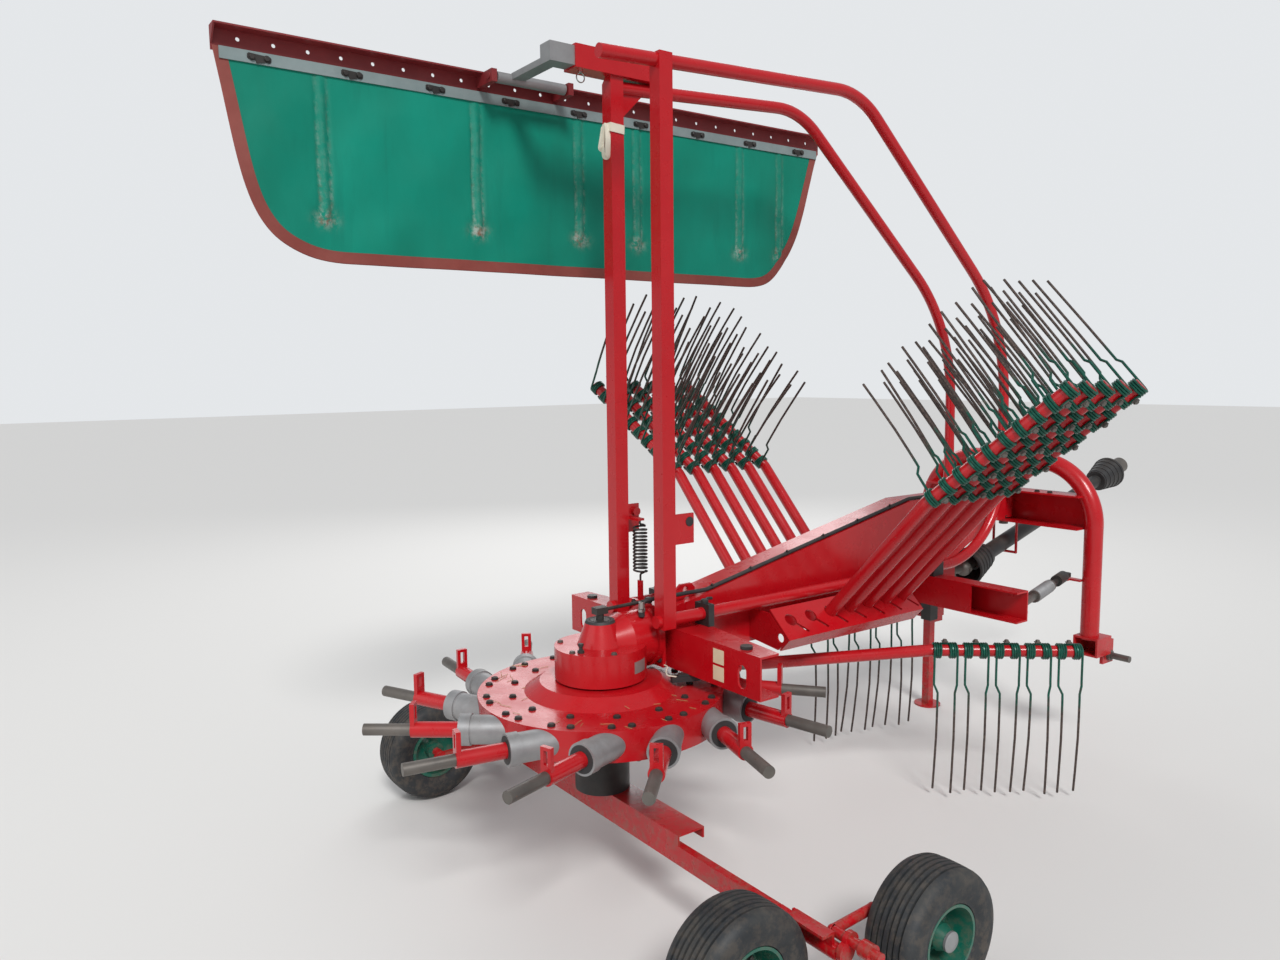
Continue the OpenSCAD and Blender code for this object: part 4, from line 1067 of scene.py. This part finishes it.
@dataclass
class RotorFittings:
    """Bolts, seals, breather and blank plate of the rotor and its gearbox."""

    shop: Workshop
    rim_top: float = 627.5
    outer: float = 372.0
    inner: float = 292.0
    gear_top: float = 772.0
    gear_radius: float = 150.0
    plate_height: tuple[float, float] = (0.700, 0.738)

    def disc_bolts(self) -> None:
        """Bolts the rotor's lid down, in pairs outside and singly inside."""
        spots: list[Matrix] = []
        for i in range(ARM_COUNT):
            base = FIRST_ARM + (i + 0.5) * ARM_STEP + 34.0
            for off, radius in ((-4.6, self.outer), (4.6, self.outer), (0.0, self.inner)):
                spots.append(machine(turn("Z", base + off) @ shift(radius, 0, self.rim_top) @ turn("Z", 17 * i)))
        self.shop.spread(hex_bolt(0.0115, 0.008, 0.0125), "rotor_lid_bolts", DARK_STEEL, "rotor", spots)

    def gear_parts(self) -> None:
        """Adds the flange bolts, seal ring, breather and blank plate of the gearbox."""
        spots = [machine(turn("Z", 15 + 60 * i) @ shift(self.gear_radius - 16, 0, self.gear_top)) for i in range(6)]
        spots = [s for s in spots if s.translation.x < AXIS_X + 0.09]
        for i in range(8):
            angle = 22.5 + 45 * i
            spots.append(machine(shift(188, 0, 770) @ turn("X", angle) @ shift(0, 0, 88) @ turn("Y", -90)))
        self.shop.spread(hex_bolt(0.009, 0.007, 0.010), "gearbox_bolts", BARE_STEEL, "frame", spots)
        seal = Shell()
        lip = [(0.046, 0.008), (0.034, 0.008), (0.034, 0.0), (0.050, 0.0)]
        seal.revolve(lip, machine(shift(0, 0, self.gear_top + 72.7)), 32)
        self.shop.fix(seal, "shaft_seal", BLACK_RUBBER, "frame")
        breather = Shell()
        outline = [(0, 0), (0.011, 0), (0.011, 0.008), (0.006, 0.009), (0.006, 0.02), (0.009, 0.022), (0.009, 0.03),
                   (0, 0.032)]
        breather.lathe(outline, machine(turn("Z", 205) @ shift(118, 0, self.gear_top)), 12)
        self.shop.fix(breather, "gearbox_breather", DARK_STEEL, "frame")
        plate = Shell()
        radius = self.gear_radius / 1000
        steps, start, span = 6, -78, 24
        verts: list[Vector] = []
        for i in range(steps + 1):
            angle = math.radians(start + span * i / steps)
            for r in (radius - 0.001, radius + 0.0012):
                for z in self.plate_height:
                    verts.append(Vector((AXIS_X + r * math.cos(angle), r * math.sin(angle), z)))
        faces: list[tuple[int, ...]] = []
        for i in range(steps):
            a, b = 4 * i, 4 * (i + 1)
            faces += [(a + 2, b + 2, b + 3, a + 3), (a, a + 1, b + 1, b), (a + 1, a + 3, b + 3, b + 1),
                      (a, b, b + 2, a + 2)]
        faces += [(0, 2, 3, 1), (4 * steps, 4 * steps + 1, 4 * steps + 3, 4 * steps + 2)]
        plate.add(verts, faces)
        self.shop.fix(plate, "gearbox_plate", PLATE_GREY, "frame")

    def spigot_rings(self) -> None:
        """Adds the dark seal rings inside the bearing housings' mouths."""
        ring = Shell()
        ring.revolve([(0.0245, 0.0012), (0.041, 0.0012), (0.041, -0.001), (0.0245, -0.001)], turn("Y", 90), 28)
        mouth = shift(410.6, ARM_OFFSET, ARM_HEIGHT)
        spots = [machine(turn("Z", FIRST_ARM + i * ARM_STEP) @ mouth) for i in range(ARM_COUNT)]
        self.shop.spread(ring, "housing_seals", BLACK_RUBBER, "rotor", spots)

    def build(self) -> None:
        """Fits all of them."""
        self.disc_bolts()
        self.gear_parts()
        self.spigot_rings()


@dataclass
class WheelFittings:
    """Hub caps and wheel bolts."""

    shop: Workshop

    def build(self) -> None:
        """Fits the caps and bolts on the outer side of each wheel."""
        for row, x, y in WHEELS:
            for side in Side:
                body = f"wheel_{row}_{side.label}"
                face = machine(shift(x, side.value * y, WHEEL_RADIUS) @ turn("X", -90 * side.value))
                cap = Shell()
                cap.lathe([(0, 0.060), (0.0275, 0.060), (0.0275, 0.0668), (0.024, 0.0695), (0.010, 0.0715),
                           (0, 0.0715)], face, 28)
                self.shop.fix(cap, f"hub_cap_{body}", GALVANISED, body)
                spots = [face @ turn("Z", 72 * i + 20) @ shift(0.054, 0, -0.0066) for i in range(5)]
                self.shop.spread(hex_bolt(0.008, 0.009, 0.009), f"wheel_bolts_{body}", BARE_STEEL, body, spots)


@dataclass
class SmallFittings:
    """Plates, pads, ties, pins and cords that are too small for the construction model."""

    shop: Workshop
    base_rear: float = 218.0
    hose_y: float = -52.0
    post_x: float = 168.0
    hinge_y: float = 130.0
    cord_width: float = 0.0052
    straws: int = 46
    hose_slope: float = 11.69
    hose_top: tuple[float, float] = (1480.0, 1125.45)

    def blank_plates(self) -> None:
        """Sticks two blank plates on the rear of the right box."""
        plates = Shell()
        for low, high in ((744, 790), (690, 736)):
            plates.block(Vector((-0.0012, -0.025, 0)), Vector((-0.0002, 0.025, (high - low) / 1000)),
                         Matrix.Translation(at(self.base_rear, -335, low)))
        self.shop.fix(plates, "blank_plates", CREAM, "frame", None)

    def pads(self) -> None:
        """Puts round rubber pads on the plates of the posts."""
        for side, body in ((Side.RIGHT, "guard_right"), (Side.LEFT, "guard_left")):
            pad = Shell()
            pad.lathe([(0, 0), (0.0155, 0), (0.0155, 0.0018), (0.013, 0.0026), (0, 0.0026)],
                      machine(shift(250, side.value * (self.hinge_y + 25.2), 1168) @ turn("X", -90 * side.value)), 24)
            self.shop.fix(pad, f"pad_{body}", BLACK_RUBBER, body)

    def hose_ties(self) -> None:
        """Ties the hose down along the beam."""
        tie = Shell()
        tie.revolve([(0.0072, -0.003), (0.0088, -0.003), (0.0088, 0.003), (0.0072, 0.003)], turn("Y", 90), 16)
        tie.block(Vector((-0.003, -0.004, 0.007)), Vector((0.003, 0.004, 0.014)), turn("X", 30))
        spots = []
        for x in (430, 610, 790, 980, 1170, 1360):
            z = self.hose_top[1] - (self.hose_top[0] - x) * math.tan(math.radians(self.hose_slope))
            spots.append(machine(shift(x, self.hose_y, z) @ turn("Y", -self.hose_slope)))
        self.shop.spread(tie, "hose_ties", BLACK_PLASTIC, "frame", spots)

    def hose_end(self) -> None:
        """Adds the bright crimped end of the hose at its fitting."""
        crimp = Shell()
        sleeve = [(0.0072, 0.0), (0.0105, 0.0), (0.0105, 0.022), (0.0072, 0.022)]
        nut = [(0, 0), (0.013, 0), (0.013, 0.009), (0, 0.009)]
        crimp.revolve(sleeve, machine(shift(130, self.hose_y, 879)), 18)
        crimp.lathe(nut, machine(shift(130, self.hose_y, 868)), 6)
        self.shop.fix(crimp, "hose_end", SHINY, "frame")

    def cord(self) -> None:
        """Adds the black sensor piece under the right box and its short cream cord from the beam's end plate."""
        body = Shell()
        place = machine(shift(214, -168, 648) @ turn("Z", -38) @ turn("Y", -4))
        body.block(Vector((-0.044, -0.016, 0)), Vector((0.052, 0.016, 0.018)), place, 0.006)
        body.block(Vector((-0.020, -0.012, 0.017)), Vector((0.046, 0.012, 0.0245)), place, 0.004)
        self.shop.fix(body, "sensor_piece", BLACK_PLASTIC, "frame")
        points = [(194, -88, 684), (194, -108, 684), (172, -124, 676), (160, -146, 669), (178, -164, 668),
                  (194, -158, 660)]
        route = round_path([at(*p) for p in points], 0.0115, 5)
        lead = Shell()
        lead.sweep(route, self.cord_width / 2, 9)
        piece = lead.build("sensor_cord", self.shop.paints.of(STRAP), 60.0)
        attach(piece, "frame")

    def strap(self) -> None:
        """Hangs the cream strap loops on the left post."""
        x, y = self.post_x, self.hinge_y
        strap = Shell()
        half_width, half_thick = 0.014, 0.0012
        flat = [(-half_width, -half_thick), (half_width, -half_thick), (half_width, half_thick),
                (-half_width, half_thick)]
        wrap = [(x - 27, y - 27, 2440), (x + 27, y - 27, 2436), (x + 27, y + 27, 2440), (x - 27, y + 27, 2444),
                (x - 27, y - 26, 2441)]
        ring = round_path([at(*p) for p in wrap], 0.004, 3)
        strap.sweep(ring, 1.0, profile=[(a, b) for b, a in flat], up=Vector((0, 0, 1)))
        for dx, low, lean in ((-31, 2345, -8), (-34, 2372, 10)):
            hang = [(x + dx, y - 12, 2452), (x + dx - 5, y - 14 + lean, 2400), (x + dx - 3, y - 8 + lean, low),
                    (x + dx - 12, y + 2 + lean, low + 2), (x + dx - 10, y + 6, 2400), (x + dx - 2, y + 4, 2446)]
            loop = round_path([at(*p) for p in hang], 0.010, 5)
            strap.sweep(loop, 1.0, profile=[(a * 0.7, b) for a, b in flat], up=Vector((0, 1, 0)))
        self.shop.fix(strap, "strap_loops", STRAP, "guard_left", 60.0)

    def slide_pin(self) -> None:
        """Adds the clip pin that holds the curtain's slide tube."""
        pin = Shell()
        y = self.hinge_y
        pin.sweep([at(44, y, 2596), at(44, y, 2604)], 0.006, 12)
        angles = [2 * math.pi * i / 20 for i in range(21)]
        pin.sweep([at(44 + 15 * math.cos(a), y, 2583 + 15 * math.sin(a)) for a in angles], 0.002, 6)
        self.shop.fix(pin, "slide_pin", SHINY, "guard_left")

    def block_levers(self) -> None:
        """Adds the lever tops of the clamp blocks of the guard tubes."""
        for side in Side:
            lever = Shell()
            y = side.value * self.hinge_y
            knob = [(0, 0), (0.013, 0), (0.013, 0.010), (0.009, 0.013), (0, 0.013)]
            lever.lathe(knob, machine(shift(333, y, 882.2)), 16)
            handle = [at(333, y, 890), at(352, y - side.value * 6, 893), at(372, y - side.value * 10, 890)]
            lever.sweep(handle, 0.0055, 10)
            self.shop.fix(lever, f"block_lever_{side.label}", BLACK_PLASTIC, "frame")

    def knurling(self) -> None:
        """Puts the ridged cover on each steering spring's sleeve."""
        tail, eye = Vector((1596, 500, 752)), Vector((2186, 332, 762))
        ridges, pitch, root, crest = 32, 0.0062, 0.0246, 0.0259
        for side in Side:
            a = Vector((tail.x, side.value * tail.y, tail.z))
            b = Vector((eye.x, side.value * eye.y, eye.z))
            along = (b - a).normalized()
            place = Matrix.Translation(at(*a)) @ along.to_track_quat("Z", "Y").to_matrix().to_4x4()
            profile: list[tuple[float, float]] = [(0.0241, 0.160)]
            for i in range(ridges):
                z = 0.162 + i * pitch
                profile += [(root, z), (crest, z + 0.0018), (crest, z + 0.0034), (root, z + 0.0052)]
            profile += [(0.0241, 0.3625)]
            cover = Shell()
            cover.revolve(profile, place, 28)
            self.shop.fix(cover, f"ridged_cover_{side.label}", GALVANISED, f"steer_sleeve_{side.label}", 20.0)

    def shaft_rings(self) -> None:
        """Adds the moulded rings of the drive shaft's guard cones."""
        rings = Shell()
        place = machine(shift(1935, 0, 770) @ turn("Y", 90 - 16))
        rear_cone = ((20, 81), (48, 75), (76, 69.5), (104, 63.8), (132, 58))
        front_cone = ((1130, 52), (1158, 58), (1186, 64), (1214, 70), (1240, 76))
        for z, r in rear_cone + front_cone:
            section = [(r - 2, z - 4), (r + 2.5, z - 3), (r + 2.5, z + 3), (r - 2, z + 4)]
            rings.revolve([(a / 1000, b / 1000) for a, b in section], place, 40)
        self.shop.fix(rings, "guard_cone_rings", BLACK_PLASTIC, "drive_shaft")

    def rim_bolts(self) -> None:
        """Bolts the rotor's rim from below."""
        count, below = 26, shift(380, 0, 532.5) @ turn("X", 180)
        spots = [machine(turn("Z", 360 * (i + 0.25) / count) @ below) for i in range(count)]
        self.shop.spread(hex_bolt(0.009, 0.008, 0.010), "rim_under_bolts", DARK_STEEL, "rotor", spots)

    def plate_bolts(self) -> None:
        """Bolts the beam's end plate and the headstock's cross piece."""
        corners = ((-70, 700), (-35, 700), (35, 700), (70, 700), (-70, 868), (70, 868))
        end_plate = [machine(shift(188, y, z) @ turn("Y", -90)) for y, z in corners]
        cross_piece = [machine(shift(2195, y, 1108)) for y in (-180, -240, 180, 240)]
        for label, body, spots in (("end_plate", "frame", end_plate), ("cross_piece", "headstock", cross_piece)):
            self.shop.spread(hex_bolt(0.010, 0.008, 0.012), label + "_bolts", DARK_STEEL, body, spots)

    def straw(self) -> None:
        """Leaves some dry straw on the rotor's lid and the gearbox."""
        chance = random.Random(5)
        wisps = Shell()
        for _ in range(self.straws):
            angle, radius = chance.uniform(0, 360), chance.uniform(215, 385)
            climb = 30 * (235 - radius) / 35 if radius < 235 else 0.0
            base = machine(turn("Z", angle) @ shift(radius, 0, 628.6 + climb))
            length = chance.uniform(0.02, 0.07)
            heading = turn("Z", chance.uniform(0, 360))
            stalk = [Vector((t * length, 0.004 * math.sin(3 * t), 0.0006)) for t in (-0.5, -0.1, 0.3, 0.5)]
            wisps.sweep([base @ heading @ point for point in stalk], 0.0007, 4)
        self.shop.fix(wisps, "dry_straw", STRAW, "rotor", None)

    def build(self) -> None:
        """Fits all of them."""
        for job in (self.blank_plates, self.pads, self.hose_ties, self.hose_end, self.cord, self.strap,
                    self.slide_pin, self.block_levers, self.knurling, self.shaft_rings, self.rim_bolts,
                    self.plate_bolts, self.straw):
            job()


@dataclass
class GuardSpring:
    """The weight spring between the left guard and the frame."""

    shop: Workshop
    place: tuple[float, float] = (212.0, 66.0)
    foot: float = 972.0
    head: float = 1128.0
    radius: float = 26.0
    wire: float = 3.6
    turns: float = 13.0

    def build(self) -> None:
        """Winds the spring and bends its two hooks."""
        x, y = self.place
        steel = self.shop.paints.of(DARK_STEEL)
        r = self.radius - self.wire
        coil = self.shop.springs.wind("weight_spring", self.turns, r / 1000, (self.head - self.foot) / 1000,
                                      self.wire / 1000, machine(shift(x, y, self.foot)), steel)
        hooks = Shell()
        for end, way, reach in ((self.foot, -1, 30), (self.head, 1, 20)):
            hook = [(r, end), (r * 0.7, end + way * 5), (0, end + way * 8), (0, end + way * reach)]
            hooks.sweep(round_path([at(x + a, y, c) for a, c in hook], 0.006, 4), self.wire / 1000, 8)
        bent = hooks.build("weight_spring_hooks", steel)
        for piece in (coil, bent):
            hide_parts("guard_spring")
            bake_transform(piece)


@dataclass
class Studio:
    """The floor, the light and the camera."""

    eye: Triple = (-1687.1, -2551.7, 1650.0)
    ahead: Triple = (0.5841, 0.804, -0.1116)
    upward: Triple = (0.0745, 0.0839, 0.9937)
    lens: float = 27.06
    sensor: float = 36.0
    floor_width: float = 80.0
    floor_colour: Triple = (0.66, 0.65, 0.63)
    sky_light: float = 0.48
    sky_colour: Triple = (0.92, 0.95, 1.0)
    seen_colour: Triple = (0.78, 0.80, 0.82)
    sun_power: float = 2.5
    sun_width: float = 16.0

    def camera(self) -> None:
        """Sets the camera where the photograph's stood."""
        data = bpy.data.cameras.new("camera")
        data.sensor_width = self.sensor
        data.lens = self.lens
        data.clip_end = 200.0
        camera = bpy.data.objects.new("camera", data)
        bpy.context.scene.collection.objects.link(camera)
        back = -Vector(self.ahead).normalized()
        up = (Vector(self.upward) - back * Vector(self.upward).dot(back)).normalized()
        right = up.cross(back)
        turned = Matrix((right, up, back)).transposed().to_4x4()
        camera.matrix_world = Matrix.Translation(at(*self.eye)) @ turned
        bpy.context.scene.camera = camera

    def floor(self) -> None:
        """Lays a plain pale floor."""
        chain = NodeChain("studio_floor")
        chain.feed(self.floor_colour, chain.shader.inputs["Base Color"])
        chain.settle(chain.shader, Roughness=0.85)
        shell = Shell()
        half = self.floor_width / 2
        corners = [Vector((x, y, 0)) for x, y in ((-half, -half), (half, -half), (half, half), (-half, half))]
        shell.add(corners, [(0, 1, 2, 3)])
        shell.build("studio_floor", chain.material, None)

    def light(self) -> None:
        """Hangs soft lamps and a pale surround."""
        world = bpy.data.worlds.new("studio_world")
        world.use_nodes = True
        tree = world.node_tree
        background = tree.nodes["Background"]
        background.inputs[0].default_value = (*self.sky_colour, 1.0)
        background.inputs[1].default_value = self.sky_light
        seen = tree.nodes.new("ShaderNodeBackground")
        seen.inputs[0].default_value = (*self.seen_colour, 1.0)
        path = tree.nodes.new("ShaderNodeLightPath")
        mix = tree.nodes.new("ShaderNodeMixShader")
        tree.links.new(path.outputs["Is Camera Ray"], mix.inputs[0])
        tree.links.new(background.outputs[0], mix.inputs[1])
        tree.links.new(seen.outputs[0], mix.inputs[2])
        tree.links.new(mix.outputs[0], tree.nodes["World Output"].inputs[0])
        bpy.context.scene.world = world
        sun = bpy.data.lights.new("soft_sun", "SUN")
        sun.energy = self.sun_power
        sun.angle = math.radians(self.sun_width)
        self.hang(sun, Vector((0, 0, 0)), Vector((0.45, 1.0, -1.05)))
        middle = Vector((0, 0, 0.9))
        lamps = (("fill", 60.0, 5.0, (-6.5, 0.5, 3.0)), ("rim", 120.0, 4.0, (3.0, 5.5, 4.5)))
        for name, energy, size, place in lamps:
            lamp = bpy.data.lights.new(name, "AREA")
            lamp.energy = energy
            lamp.size = size
            self.hang(lamp, Vector(place), middle - Vector(place))

    def hang(self, light: bpy.types.Light, place: Vector, beam: Vector) -> None:
        """Hangs a lamp at a place, shining one way."""
        lamp = bpy.data.objects.new(light.name, light)
        bpy.context.scene.collection.objects.link(lamp)
        lamp.matrix_world = Matrix.Translation(place) @ beam.to_track_quat("-Z", "Y").to_matrix().to_4x4()

    def build(self) -> None:
        """Sets up the whole studio."""
        self.camera()
        self.floor()
        self.light()
        bpy.context.scene.view_settings.view_transform = "Standard"


def main() -> None:
    """Builds the studio and every sub-assembly."""
    logging.basicConfig(level=logging.INFO, format="%(name)s: %(message)s")
    Studio().build()
    shop = Workshop(Paints(), CopyTree(), SpringTree())
    shop.paints.dress_frame()
    for part in (TineSet(shop), Curtain(shop), Wheels(shop), WheelFittings(shop), RotorFittings(shop),
                 SmallFittings(shop), GuardSpring(shop)):
        part.build()
        LOG.info("%s done", type(part).__name__)


if __name__ == "__main__":
    main()
